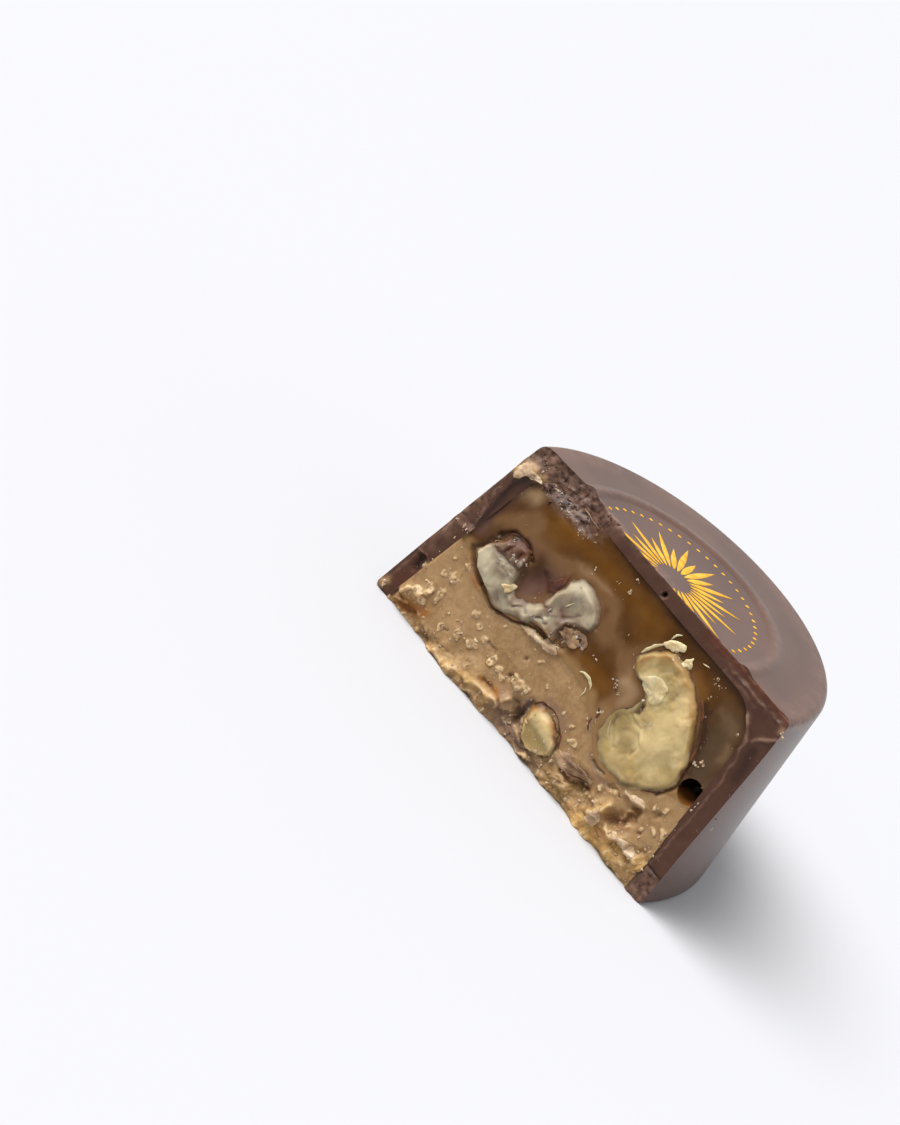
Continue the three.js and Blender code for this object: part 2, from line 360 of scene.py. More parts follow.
chocolate_shell = mould()
carve(chocolate_shell, inside(0))
carve(chocolate_shell, knife(shell_relief))
chocolate_shell.name = chocolate_shell.data.name = "shell_visual"


def finish_mesh(piece):
    """Shades the piece smooth, apart from its sharp edges."""
    piece.data.shade_smooth()
    piece.data.set_sharp_from_angle(angle=SHARP_ANGLE)


def add_value(piece, name, values, domain="POINT"):
    attribute = piece.data.attributes.new(name, "FLOAT", domain)
    attribute.data.foreach_set("value", np.asarray(values, np.float32))


def on_knife(piece, relief):
    """1 for each point of the piece that lies on the knife's surface, and 0 for the rest."""
    points = points_of(piece)
    x, z = points[:, 0], points[:, 2]
    return (np.abs(points[:, 1] - cut_at(x, z) + relief(x, z)) < ON_KNIFE).astype(float)


def whole_faces(piece, share):
    """1 for each face whose points all have a share of 1, and 0 for the rest."""
    return [float(all(share[v] > 0.5 for v in face.vertices)) for face in piece.data.polygons]


def raised(x, z, relief, reach=0.28):
    """How far the relief stands above its surroundings."""
    turns = np.arange(6) * math.pi / 3
    around = sum(relief(x + reach * math.cos(t), z + reach * math.sin(t)) for t in turns) / 6
    return relief(x, z) - around


def painted(x, z, marks, grain):
    """A mask from 0 to 1 made of strokes with uneven edges."""
    wx, wz = warp(x, z, 0.8, grain, 71)
    return np.clip(strokes(wx, wz, marks), 0, 1)


# Painted marks on the shell's cut: path, half width, strength.
SHELL_TAN = [
    ([(-14.0, 13.2), (-13.5, 14.1), (-12.9, 13.9), (-12.0, 13.75)], 0.38, 1.5),
    ([(-15.4, 0.5)], 0.4, 0.8),
    ([(-13.9, 3.7)], 0.22, 1.2),
]
SHELL_WORN = [
    ([(-15.0, 6.4), (-14.1, 15.2)], 0.18, 0.7),
    ([(-14.7, 5.0), (-14.2, 11.0)], 0.5, 0.3),
    ([(-15.4, 0.8), (-15.0, 7.0)], 0.12, 0.5),
    ([(-15.1, 7.6), (-13.3, 7.6)], 0.22, 0.7),
    ([(-13.4, 8.2), (-13.9, 9.9), (-14.0, 11.4)], 0.12, 0.7),
    ([(-7.2, 15.9), (-4.8, 15.9)], 0.28, 0.8),
    ([(-12.6, 15.3), (-11.2, 15.2)], 0.35, 0.7),
    ([(-4.5, 15.95), (4.0, 15.85), (13.6, 15.7)], 0.07, 0.6),
    ([(-8.2, 14.75), (-6.2, 14.7)], 0.1, 0.9),
    ([(7.0, 15.2), (13.2, 15.2)], 0.09, 0.6),
    ([(7.5, 14.75), (10.8, 14.7)], 0.12, 0.3),
    ([(13.6, 14.3), (12.6, 13.5), (12.4, 13.0)], 0.1, 0.8),
    ([(13.3, 14.9)], 0.28, 0.8),
    ([(10.9, 14.0), (12.1, 12.7)], 0.14, 1.0),
    ([(12.1, 12.7), (12.75, 10.0), (13.15, 6.0), (13.45, 1.5)], 0.07, 0.5),
    ([(13.5, 0.3), (14.6, 0.4)], 0.5, 0.3),
]
SHELL_REDDISH = [([(5.0, 15.65), (13.6, 15.6)], 0.35, 0.8), ([(-14.7, 1.0), (-14.5, 4.0)], 0.5, 0.5)]
# Painted shade: in pits, creases and thin lines of the cut, in the pinhole, and in the recesses by the left
# and the right walls.
SHELL_SHADE = [
    ([(-14.6, 3.6), (-14.35, 3.1)], 0.3, 0.9),
    ([(0.6, 15.25)], 0.2, 1.0),
    ([(5.0, 15.3), (13.0, 15.35)], 0.08, 0.4),
    ([(13.2, 2.25), (14.6, 2.2)], 0.06, 0.9),
    ([(-15.1, 4.25), (-14.0, 4.2)], 0.1, 0.4),
    ([(-13.3, 8.4), (-13.35, 12.2), (-12.8, 13.3)], 0.3, 0.8),
    ([(12.9, 12.6), (13.4, 10.5)], 0.45, 0.7),
]

finish_mesh(chocolate_shell)
shell_x, shell_y, shell_z = points_of(chocolate_shell).T
shell_cut = on_knife(chocolate_shell, shell_relief)
shell_reach = np.hypot(shell_x, shell_y * TOP_HALF_WIDTH / TOP_HALF_LENGTH)
# Painted highlight: a paler line along the top rim and along the crest of the raised oval line.
rim_and_ridge_highlight = np.exp(-(((shell_z - 15.55) / 0.25) ** 2)) * (shell_reach > 12.6)
rim_and_ridge_highlight = rim_and_ridge_highlight * (0.75 + 0.5 * rough(shell_x + shell_y, shell_z, 1.7, 61)) * (1 - shell_cut)
on_ridge = 0.3 * np.exp(-(((shell_reach - RIDGE_AT * TOP_HALF_WIDTH) / 0.4) ** 2)) * (shell_z > FACE - 0.05)
rim_and_ridge_highlight = rim_and_ridge_highlight + on_ridge * (1 - shell_cut)
# The cut's worn, crumbly edges and the painted rim and ridge highlight make one mask.
shell_worn = painted(shell_x, shell_z, SHELL_WORN, 0.12) * shell_cut
add_value(chocolate_shell, "cut", whole_faces(chocolate_shell, shell_cut), "FACE")
add_value(chocolate_shell, "wear_and_highlight", np.clip(shell_worn + rim_and_ridge_highlight, 0, 1))
add_value(chocolate_shell, "crumbled", shell_crumbled(shell_x, shell_z) * shell_cut)
shell_masks = {"tan": (SHELL_TAN, 0.3), "reddish": (SHELL_REDDISH, 0.25), "dark": (SHELL_SHADE, 0.06)}
for mask, (marks, grain) in shell_masks.items():
    add_value(chocolate_shell, mask, painted(shell_x, shell_z, marks, grain) * shell_cut)
add_value(chocolate_shell, "raised", np.clip(raised(shell_x, shell_z, shell_relief), -0.4, 0.4) * shell_cut)


def colour(code):
    """A linear colour from its #rrggbb code."""
    parts = [int(code[i : i + 2], 16) / 255 for i in (1, 3, 5)]
    return tuple(c / 12.92 if c <= 0.04045 else ((c + 0.055) / 1.055) ** 2.4 for c in parts) + (1.0,)


def put(tree, socket, value):
    """Links a socket to another node's output, or sets its constant."""
    if isinstance(value, bpy.types.NodeSocket):
        tree.links.new(value, socket)
    else:
        socket.default_value = value


def add(tree, kind, sockets=None, **settings):
    """A node with these settings and these values on its sockets, by name or by number."""
    made = tree.nodes.new(kind)
    for name, value in settings.items():
        setattr(made, name, value)
    for key, value in (sockets or {}).items():
        put(tree, made.inputs[key], value)
    made.location = (200 * (len(tree.nodes) % 9), -260 * (len(tree.nodes) // 9))
    return made


def tint(tree, base, share, over):
    """The base colour with another laid over it, at that share."""
    return add(tree, "ShaderNodeMix", {0: share, 6: base, 7: over}, data_type="RGBA").outputs[2]


def between(tree, value, low, high, start=0.0, end=1.0):
    """Runs smoothly from start to end as the value goes from low to high."""
    sockets = {"Value": value, "From Min": low, "From Max": high, "To Min": start, "To Max": end}
    return add(tree, "ShaderNodeMapRange", sockets, interpolation_type="SMOOTHSTEP").outputs["Result"]


def maths(tree, operation, a, b):
    return add(tree, "ShaderNodeMath", {0: a, 1: b}, operation=operation).outputs[0]


def product(tree, a, b):
    return maths(tree, "MULTIPLY", a, b)


def own_value(tree, name):
    return add(tree, "ShaderNodeAttribute", attribute_name=name).outputs["Fac"]


def layered(tree, base, layers):
    """The base colour with others laid over it. A layer is a share, or a mask's name, and a colour."""
    for share, over in layers:
        base = tint(tree, base, own_value(tree, share) if isinstance(share, str) else share, over)
    return base


def effect(name, inputs, output="Mask", kind="NodeSocketFloat"):
    """A shader node group with number inputs and one output, and the place and scale of a pattern in it."""
    group = bpy.data.node_groups.new(name, "ShaderNodeTree")
    for label, value in inputs.items():
        group.interface.new_socket(label, in_out="INPUT", socket_type="NodeSocketFloat").default_value = value
    group.interface.new_socket(output, in_out="OUTPUT", socket_type=kind)
    given = group.nodes.new("NodeGroupInput").outputs
    out = group.nodes.new("NodeGroupOutput").inputs
    place = add(group, "ShaderNodeTexCoord").outputs["Object"]
    return group, given, out, {"Vector": place, "Scale": product(group, given[0], 1 / MM)}


def patches_effect():
    """Soft uneven patches: a mask that runs from 0 to 1 over the surface."""
    group, given, out, placed = effect("patches", {"Per Millimetre": 1.0, "Detail": 3.0, "Softness": 0.15})
    noise = add(group, "ShaderNodeTexNoise", {**placed, "Detail": given[1]}).outputs[0]
    low = maths(group, "SUBTRACT", 0.5, given[2])
    high = maths(group, "ADD", 0.5, given[2])
    put(group, out[0], between(group, noise, low, high))
    return group


def specks_effect():
    """Small round specks on a share of the places."""
    group, given, out, placed = effect("specks", {"Per Millimetre": 1.0, "Share": 0.3, "Size": 0.2})
    cells = add(group, "ShaderNodeTexVoronoi", placed)
    chance = add(group, "ShaderNodeSeparateColor", {0: cells.outputs["Color"]}).outputs[0]
    spot = between(group, cells.outputs["Distance"], product(group, given[2], 0.6), given[2], 1.0, 0.0)
    put(group, out[0], product(group, spot, maths(group, "LESS_THAN", chance, given[1])))
    return group


def uneven_effect():
    """A finely uneven surface, as a normal."""
    inputs = {"Per Millimetre": 1.0, "Height": 0.01, "Detail": 3.0}
    group, given, out, placed = effect("uneven_surface", inputs, "Normal", "NodeSocketVector")
    noise = add(group, "ShaderNodeTexNoise", {**placed, "Detail": given[2]}).outputs[0]
    height = product(group, given[1], MM)
    bump = add(group, "ShaderNodeBump", {"Strength": 1.0, "Distance": height, "Height": noise})
    put(group, out[0], bump.outputs["Normal"])
    return group


PATCHES, SPECKS, UNEVEN = patches_effect(), specks_effect(), uneven_effect()


def use_effect(tree, group, *values):
    """The output of an effect with these values on its inputs."""
    node = add(tree, "ShaderNodeGroup", dict(enumerate(values)), node_tree=group)
    return node.outputs[0]


def patches(tree, per_millimetre, detail=3.0, softness=0.15):
    return use_effect(tree, PATCHES, per_millimetre, detail, softness)


def specks(tree, per_millimetre, share, size):
    return use_effect(tree, SPECKS, per_millimetre, share, size)


def uneven(tree, per_millimetre, height, detail=3.0):
    return use_effect(tree, UNEVEN, per_millimetre, height, detail)


def new_finish(name, roughness, subsurface=0.0, reach=(0.8, 0.5, 0.25), shine=0.25):
    """A material with a plain shader: its roughness, how deep light goes in in millimetres, and its shine."""
    material = bpy.data.materials.new(name)
    material.use_nodes = True
    shader = material.node_tree.nodes["Principled BSDF"]
    shader.inputs["Roughness"].default_value = roughness
    shader.inputs["Subsurface Weight"].default_value = subsurface
    shader.inputs["Subsurface Radius"].default_value = [r * MM for r in reach]
    shader.inputs["Subsurface Scale"].default_value = 1.0
    shader.inputs["Specular IOR Level"].default_value = shine
    return material, material.node_tree, shader.inputs


CHOCOLATE_DARK = colour("#4b3025")
CHOCOLATE_LIGHT = colour("#5f4132")
CHOCOLATE_CUT = colour("#452c21")
# The pale colour of worn, crumbly edges, used also for painted highlights on the rim, the ridge and the
# raised bits of the cut.
CHOCOLATE_WEAR_AND_HIGHLIGHT = colour("#96735e")
CRUMBLED_DARK = colour("#3d2820")
CRUMBLED_LIGHT = colour("#745849")
CHOCOLATE_REDDISH = colour("#552c1d")
CHOCOLATE_SHADE = colour("#2a1812")
TOFFEE_SMEAR = colour("#b8946a")
DUST = colour("#a08a7c")


def crumbled_chocolate(tree):
    return tint(tree, CRUMBLED_DARK, patches(tree, 2.6, 5.0, 0.2), CRUMBLED_LIGHT)


chocolate, tree, shader = new_finish("chocolate", 0.45, shine=0.2)
moulded = tint(tree, CHOCOLATE_DARK, patches(tree, 0.14, 2.0, 0.3), CHOCOLATE_LIGHT)
sliced = tint(tree, CHOCOLATE_CUT, product(tree, patches(tree, 0.6, 4.0, 0.25), 0.4), CHOCOLATE_LIGHT)
base = layered(tree, moulded, [
    ("cut", sliced),
    (product(tree, own_value(tree, "crumbled"), 0.85), crumbled_chocolate(tree)),
    ("reddish", CHOCOLATE_REDDISH),
    # Paler where worn, and paler along the rim and the ridge as a painted highlight.
    (product(tree, own_value(tree, "wear_and_highlight"), patches(tree, 1.7, 3.0, 0.3)), CHOCOLATE_WEAR_AND_HIGHLIGHT),
    # Painted shade in the hollows of the cut and a painted highlight on its raised bits, both taken from the
    # relief.
    (between(tree, own_value(tree, "raised"), -0.03, -0.25, 0.0, 0.8), CHOCOLATE_SHADE),
    (product(tree, between(tree, own_value(tree, "raised"), 0.03, 0.15), 0.5), CHOCOLATE_WEAR_AND_HIGHLIGHT),
    ("tan", TOFFEE_SMEAR),
    # Painted shade in pits, creases and the recess by the left wall.
    ("dark", CHOCOLATE_SHADE),
    (product(tree, specks(tree, 0.35, 0.06, 0.09), 0.7), DUST),
])
put(tree, shader["Base Color"], base)
put(tree, shader["Coat Weight"], between(tree, own_value(tree, "cut"), 0.0, 1.0, 0.5, 0.0))
shader["Coat Roughness"].default_value = 0.3
put(tree, shader["Normal"], uneven(tree, 0.35, 0.02, 2.0))
chocolate_shell.data.materials.append(chocolate)
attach(chocolate_shell, "root")
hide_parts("chocolate_shell")

# ---- the pecans ----
# Three pieces of pecan kernel in the toffee, cut by the knife: a curved one, a large one and a small slice.
# Each is its wrinkled outline on the cut drawn inwards to a rounded end, and cut by a lumpy height field.

PECANS = {
    "pecan_curved": {
        "outline": [
            (-11.9, 7.5), (-11.2, 6.6), (-9.7, 6.0), (-8.0, 5.5), (-6.4, 6.0), (-4.6, 6.9), (-2.9, 7.1),
            (-2.7, 8.7), (-1.2, 9.7), (-1.9, 11.2), (-3.6, 11.7), (-5.0, 11.0), (-5.3, 9.0), (-6.5, 7.4),
            (-7.7, 7.3), (-8.2, 8.7), (-8.7, 9.9), (-10.3, 9.9), (-11.1, 9.0),
        ],
        "proud": 0.45,
        "length": 9,
    },
    "pecan_large": {
        "outline": [
            (2.5, 10.4), (4.3, 9.8), (4.8, 8.8), (4.0, 7.2), (4.1, 5.6), (5.2, 4.5), (7.2, 4.3), (9.2, 5.1),
            (10.8, 7.0), (10.0, 9.2), (8.4, 11.4), (6.4, 12.7), (4.2, 13.0), (2.8, 11.8),
        ],
        "proud": 0.25,
        "length": 12,
    },
    "pecan_small": {
        "outline": [
            (-0.3, 1.7), (0.6, 0.9), (1.8, 0.9), (2.8, 1.6), (2.9, 2.4), (2.0, 3.3), (0.6, 3.9), (-0.6, 3.4),
        ],
        "proud": 0.3,
        "length": 5,
    },
}
OUTLINE_STEPS = 10
WRINKLE = 0.16


def outline_loop(outline, clearance=0.0, wrinkle=WRINKLE):
    """A smooth closed loop through the outline's points, wrinkled, and grown by a clearance."""
    p = np.array(outline, float)
    before, after, beyond = np.roll(p, 1, 0), np.roll(p, -1, 0), np.roll(p, -2, 0)
    loop = []
    for t in np.arange(OUTLINE_STEPS) / OUTLINE_STEPS:
        start, end = (after - before) / 2, (beyond - p) / 2
        square = 3 * after - 3 * p - 2 * start - end
        loop.append((2 * p - 2 * after + start + end) * t**3 + square * t**2 + start * t + p)
    loop = np.stack(loop, 1).reshape(-1, 2)
    along = np.roll(loop, -1, 0) - np.roll(loop, 1, 0)
    along /= np.linalg.norm(along, axis=1)[:, None]
    outward = np.stack([along[:, 1], -along[:, 0]], 1)
    amount = clearance + wrinkle * rough(loop[:, 0], loop[:, 1], 0.55, 11, 3)
    return loop + outward * amount[:, None]


def kernel_solid(name, pecan, clearance=0.0):
    """The whole kernel before it is cut, grown by a clearance."""
    loop = outline_loop(pecan["outline"], clearance)
    centre = loop.mean(0)
    rings = []
    for share in (-1, 0, 0.04, 0.09, 0.16, 0.24, 0.34, 0.45, 0.56, 0.67, 0.77, 0.86, 0.93, 0.975, 1):
        inward = share * (pecan["length"] + clearance) if share > 0 else share * (pecan["proud"] + 1)
        scale = math.sqrt(1 - 0.88 * share**2) if share > 0 else 1
        flat = centre + (loop - centre) * scale
        rings.append(np.stack([flat[:, 0], cut_at(flat[:, 0], flat[:, 1]) + inward, flat[:, 1]], 1))
    points, faces = loft(rings)
    n = len(loop)
    faces.append(tuple(range(n))[::-1])
    faces.append(tuple(range(len(points) - n, len(points))))
    return face_outwards(new_piece(name, points, faces))


# Lumps and creases on each kernel's cut: path, half width, height.
KERNEL_MARKS = {
    "pecan_curved": [
        ([(-11.2, 7.6), (-10.2, 7.2), (-9.0, 6.6)], 0.8, 0.25),
        ([(-11.4, 8.35), (-10.6, 8.6), (-9.6, 8.5), (-8.3, 8.5)], 0.14, -0.15),
        ([(-9.5, 9.35)], 0.45, 0.16),
        ([(-8.55, 9.05)], 0.26, 0.2),
        ([(-10.5, 9.0)], 0.4, 0.12),
        ([(-9.0, 9.0), (-9.1, 9.6)], 0.1, -0.14),
        ([(-10.1, 8.8), (-10.0, 9.6)], 0.1, -0.14),
        ([(-9.4, 7.9), (-8.5, 7.75)], 0.14, -0.06),
        ([(-8.6, 6.3), (-7.9, 5.9)], 0.14, -0.1),
        ([(-9.4, 6.0), (-9.0, 6.4)], 0.1, -0.08),
        ([(-6.9, 6.7), (-6.2, 7.3), (-5.8, 7.0)], 0.12, -0.16),
        ([(-6.3, 7.5), (-5.6, 8.2), (-4.9, 8.5)], 0.1, -0.16),
        ([(-5.2, 7.2), (-4.6, 7.6), (-4.0, 7.7)], 0.1, -0.14),
        ([(-6.1, 7.8)], 0.3, 0.12),
        ([(-4.5, 7.8)], 0.25, 0.14),
        ([(-5.0, 7.4), (-4.4, 8.2), (-4.6, 9.2)], 0.16, -0.12),
        ([(-4.2, 10.6), (-3.2, 11.1)], 0.7, 0.25),
        ([(-3.4, 8.9), (-2.8, 9.6)], 0.16, -0.14),
        ([(-3.1, 7.7), (-3.3, 8.6)], 0.5, 0.15),
    ],
    "pecan_large": [
        ([(4.6, 9.3), (5.1, 9.0), (5.1, 8.4)], 0.2, -0.35),
        ([(4.2, 10.4), (4.8, 10.5), (5.4, 10.2)], 0.55, 0.16),
        ([(4.9, 8.0), (6.1, 7.9), (6.9, 6.9), (7.0, 6.2)], 0.13, -0.12),
        ([(6.3, 7.8), (6.9, 7.2)], 0.13, 0.1),
        ([(4.2, 7.4), (4.8, 6.4), (5.6, 5.7)], 0.12, -0.1),
        ([(7.2, 11.4), (8.0, 10.8), (8.6, 9.8)], 0.2, 0.08),
        ([(9.3, 8.5), (9.9, 8.1)], 0.25, 0.1),
        ([(5.4, 12.2), (6.4, 11.4), (6.2, 10.4)], 0.12, -0.07),
        ([(4.2, 11.9), (5.6, 12.2), (7.0, 11.6)], 0.9, 0.12),
        ([(7.2, 7.0), (8.8, 8.4), (8.6, 10.0)], 1.3, 0.15),
        ([(5.0, 6.4), (6.0, 5.4)], 0.8, -0.1),
        ([(6.2, 11.0), (6.6, 9.4), (6.3, 8.0), (6.6, 6.6)], 0.4, -0.07),
    ],
    "pecan_small": [
        ([(-0.2, 3.0), (1.2, 3.0), (2.5, 2.5)], 0.6, 0.25),
        ([(0.0, 2.2), (1.2, 2.0), (2.4, 1.8)], 0.3, -0.12),
        ([(0.6, 1.5), (2.0, 1.4)], 0.5, -0.1),
    ],
}
KERNEL_LUMPS = {"pecan_curved": 0.12, "pecan_large": 0.1, "pecan_small": 0.05}


# The knife's surface runs on from the toffee onto the kernels, so the toffee's own shape is here.
PALE_LEVEL = 7.1
PALE_DIPS = [(-8.0, 1.7, 2.9), (6.4, 3.1, 3.2)]
CRUMBLY_BELOW = 4.2
CRAGS = [
    ([(-12.6, 1.7)], 1.2, 0.3),
    ([(-8.2, 0.3)], 1.3, 0.4),
    ([(-5.4, 0.8)], 1.3, 0.35),
    ([(-3.0, 1.3)], 0.9, 0.25),
    ([(4.3, 2.2)], 0.9, 0.3),
    ([(8.2, 1.5)], 1.0, 0.4),
    ([(11.2, 1.3)], 1.5, 0.35),
]
POCKETS = [
    ([(-12.4, 0.4)], 0.8, -0.7),
    ([(-1.2, 1.9)], 0.7, -0.9),
    ([(5.9, 1.8)], 0.7, -0.7),
    ([(9.5, 2.4)], 0.6, -0.8),
]
HOLLOW = [([(-6.8, 8.9)], 1.3, -0.8)]
FUZZY = [([(-11.8, 10.4), (-10.6, 11.6)], 0.6, 1.0)]

# Gaps round the kernels, and the folds and pits in the pale toffee: path, half width, height.
GAP_MARKS = [
    ([(-12.1, 7.0), (-11.2, 6.3), (-9.9, 5.9)], 0.2, -0.25),
    ([(-9.8, 5.85), (-8.0, 5.3), (-6.2, 5.8), (-4.6, 6.7), (-3.0, 6.9)], 0.1, -0.25),
    ([(-11.4, 9.2), (-10.6, 10.1), (-9.2, 10.2), (-8.3, 9.6)], 0.2, -0.3),
    ([(10.2, 5.7), (10.9, 7.0), (10.4, 8.8)], 0.12, -0.25),
    ([(5.4, 3.95), (5.9, 3.78), (6.6, 3.9)], 0.1, -0.14),
    ([(-0.9, 1.3), (-0.95, 2.4), (-0.8, 3.2)], 0.24, -0.3),
]
PALE_MARKS = [
    ([(-9.7, 1.85), (-9.1, 1.9)], 0.1, -0.12),
    ([(-6.5, 3.45), (-5.5, 3.4)], 0.1, -0.16),
    ([(7.5, 3.75), (8.5, 3.65)], 0.1, -0.22),
    ([(-3.4, 3.2)], 0.2, -0.3),
    ([(-3.3, 4.9)], 0.2, -0.2),
    ([(11.4, 4.8)], 0.24, -0.25),
    ([(11.4, 3.2)], 0.2, -0.2),
    ([(10.0, 3.0), (10.35, 3.5), (10.1, 4.0)], 0.26, -0.5),
    ([(-4.5, 6.1), (-2.0, 6.9)], 0.25, 0.2),
    ([(8.6, 4.35), (10.2, 4.5)], 0.2, 0.2),
    ([(4.2, 1.72), (5.4, 1.82), (6.5, 2.2)], 0.15, -0.2),
    ([(-4.6, 1.75), (-2.8, 1.6)], 0.14, -0.2),
    ([(-9.2, 0.2), (-6.0, 0.8), (-3.5, 1.3), (-2.3, 1.9)], 0.3, 0.35),
    ([(-13.9, 1.4), (-12.4, 2.6)], 0.3, 0.3),
    ([(7.7, 1.3), (8.2, 2.0), (8.4, 2.8)], 0.25, 0.35),
    ([(8.2, 1.9), (7.6, 2.5)], 0.2, 0.2),
    ([(6.3, 0.7), (7.6, 1.3)], 0.25, 0.2),
    ([(9.6, 1.7), (11.0, 2.1), (12.2, 1.7)], 0.3, 0.3),
]
# Light lumps that crumbled out of the pale toffee: x, z and size across.
PALE_LUMPS = [
    (-11.5, 4.7, 0.8), (-12.4, 4.5, 0.5), (-12.7, 3.05, 0.7), (-12.2, 3.05, 0.5), (-11.35, 2.75, 0.7),
    (-11.5, 3.25, 0.4), (-8.4, 2.35, 0.6), (-7.2, 2.5, 0.9), (-8.5, 4.25, 0.6), (-7.6, 3.9, 0.5),
    (-6.7, 3.5, 0.6), (-5.2, 3.0, 0.7), (-4.3, 2.85, 0.7), (-3.6, 2.7, 0.5), (-3.0, 3.3, 0.7),
    (-2.5, 3.15, 0.8), (-1.8, 3.4, 0.5), (-9.7, 1.85, 0.6), (-13.0, 2.2, 0.8), (-13.6, 1.6, 0.6),
    (-12.3, 1.9, 0.6), (-6.2, 5.4, 0.35), (-0.9, 4.85, 0.3), (-2.3, 5.65, 0.3), (1.4, 4.4, 0.4),
    (2.6, 4.3, 0.35), (3.4, 3.7, 0.6), (10.9, 5.2, 0.4), (11.6, 5.35, 0.5), (12.6, 4.35, 0.6),
    (12.0, 4.0, 0.35), (9.4, 4.4, 0.7), (8.0, 3.5, 0.5), (7.1, 3.3, 0.5), (11.3, 3.4, 0.4),
    (-3.8, 6.4, 0.8), (-2.9, 6.8, 0.7), (-9.4, 4.7, 0.25), (-12.6, 5.6, 0.25), (-11.4, 6.0, 0.5),
]


def terraces(value, steps):
    """Turns soft bumps into flat flakes with steps between them."""
    level = np.floor(value * steps)
    return (level + smooth(value * steps - level, 0.7, 1.0)) / steps


def lump_share(x, z):
    """1 on the light ragged lumps of the pale toffee, and 0 beside them."""
    wx, wz = warp(*warp(x, z, 0.9, 0.22, 42), 0.4, 0.09, 44)
    return smooth(strokes(wx, wz, [([(at, up)], 0.5 * size, 1.0) for at, up, size in PALE_LUMPS]), 0.3, 0.55)


def pale_relief(x, z):
    """The relief of the pale toffee's cut: crags, pockets and lumps, and torn flakes along its base."""
    near_base = 1 - smooth(z, CRUMBLY_BELOW / 3, CRUMBLY_BELOW)
    plain = 0.15 * bumps(x, z, 3.5) + near_base * 0.3 * (0.2 + 0.8 * bumps(x, z, 1.25))
    wx, wz = warp(x, z, 0.9, 0.22, 42)
    plain += strokes(x, z, CRAGS) + strokes(wx, wz, POCKETS)
    plain += strokes(x, z, GAP_MARKS) + strokes(wx, wz, PALE_MARKS)
    torn_share = 1 - smooth(z + 0.8 * bumps(x, z, 2.1, 41) - 0.04 * x, 0.9, 2.8)
    along, across = (wx + 0.35 * wz) / 2.2, wz - 0.25 * wx
    torn = 0.26 * terraces(rough(along, across, 0.75, 31, 2), 3.6) + 0.1 * broken(wx, wz, 0.75, 32, 0.3)
    torn += 0.05 * broken(wx, wz, 0.36, 38) + 0.06 * rough(x, z, 0.4, 33)
    lumps = lump_share(x, z)
    grainy = 0.1 + 0.07 * rough(x, z, 0.3, 36, 2)
    fine = 0.02 * rough(x, z, 0.8, 34, 3) + 0.02 * rough(x / 2, z, 0.5, 37, 2)
    return plain + torn_share * torn + lumps * grainy + fine


def amber_relief(x, z):
    """The relief of the amber toffee's cut, which takes part in the shell's chip."""
    folds = 0.03 * rough(x, z, 2.0, 35) + 0.02 * strokes(x, z, FUZZY) * rough(x, z, 0.2, 39, 2)
    chip = strokes(x, z, SHELL_CHIP + SHELL_SMEAR) * smooth(z, 12.6, 14.6)
    plain = 0.15 * bumps(x, z, 3.5) + strokes(x, z, HOLLOW) + strokes(x, z, GAP_MARKS)
    return plain + folds + chip + shell_crumbled(x, z) * crumbly(x, z)


def level_at(x):
    """The height of the pale toffee's upper face along the cut."""
    return PALE_LEVEL - sum(depth * np.exp(-(((x - at) / width) ** 2)) for at, depth, width in PALE_DIPS)


def toffee_relief(x, z):
    """The cut across both toffees, which runs on smoothly where they meet."""
    share = smooth(z - level_at(x), -0.5, 0.6)
    return pale_relief(x, z) * (1 - share) + amber_relief(x, z) * share


def outline_distance(x, z, name):
    """How far each place on the cut is from the line round a kernel."""
    loop = outline_loop(PECANS[name]["outline"])[::3]
    return distance(x, z, [*map(tuple, loop), tuple(loop[0])])


def fold_lines(x, z, size, seed):
    """Thin winding folds: near 1 on a fold and 0 away from it."""
    return np.clip(1 - 4 * np.abs(rough(x, z, size, seed, 2)), 0, 1) ** 2


def kernel_relief(name):
    """The relief of a kernel's cut, which runs on smoothly from the toffee round it."""
    proud, lumpy, marks = PECANS[name]["proud"], KERNEL_LUMPS[name], KERNEL_MARKS[name]

    def relief(x, z):
        wx, wz = warp(x, z, 1.1, 0.25, 21)
        packed = lumpy * rough(wx, wz, 1.5, 22, 3) - 0.35 * lumpy * fold_lines(wx, wz, 1.9, 24)
        flakes = 0.5 * lumpy * terraces(rough(wx + 0.4 * wz, wz / 1.8, 1.0, 25, 2), 2.5)
        folds = strokes(*warp(x, z, 0.7, 0.14, 26), marks) + 0.2 * lumpy * broken(wx, wz, 0.65, 27)
        own = proud + 0.2 * bumps(x, z, 1.6) + packed + flakes + folds + 0.006 * rough(x, z, 0.3, 23)
        rise = smooth(outline_distance(x, z, name), 0.0, 0.32 + 0.2 * bumps(x, z, 1.7, 28))
        return toffee_relief(x, z) * (1 - rise) + own * rise

    return relief


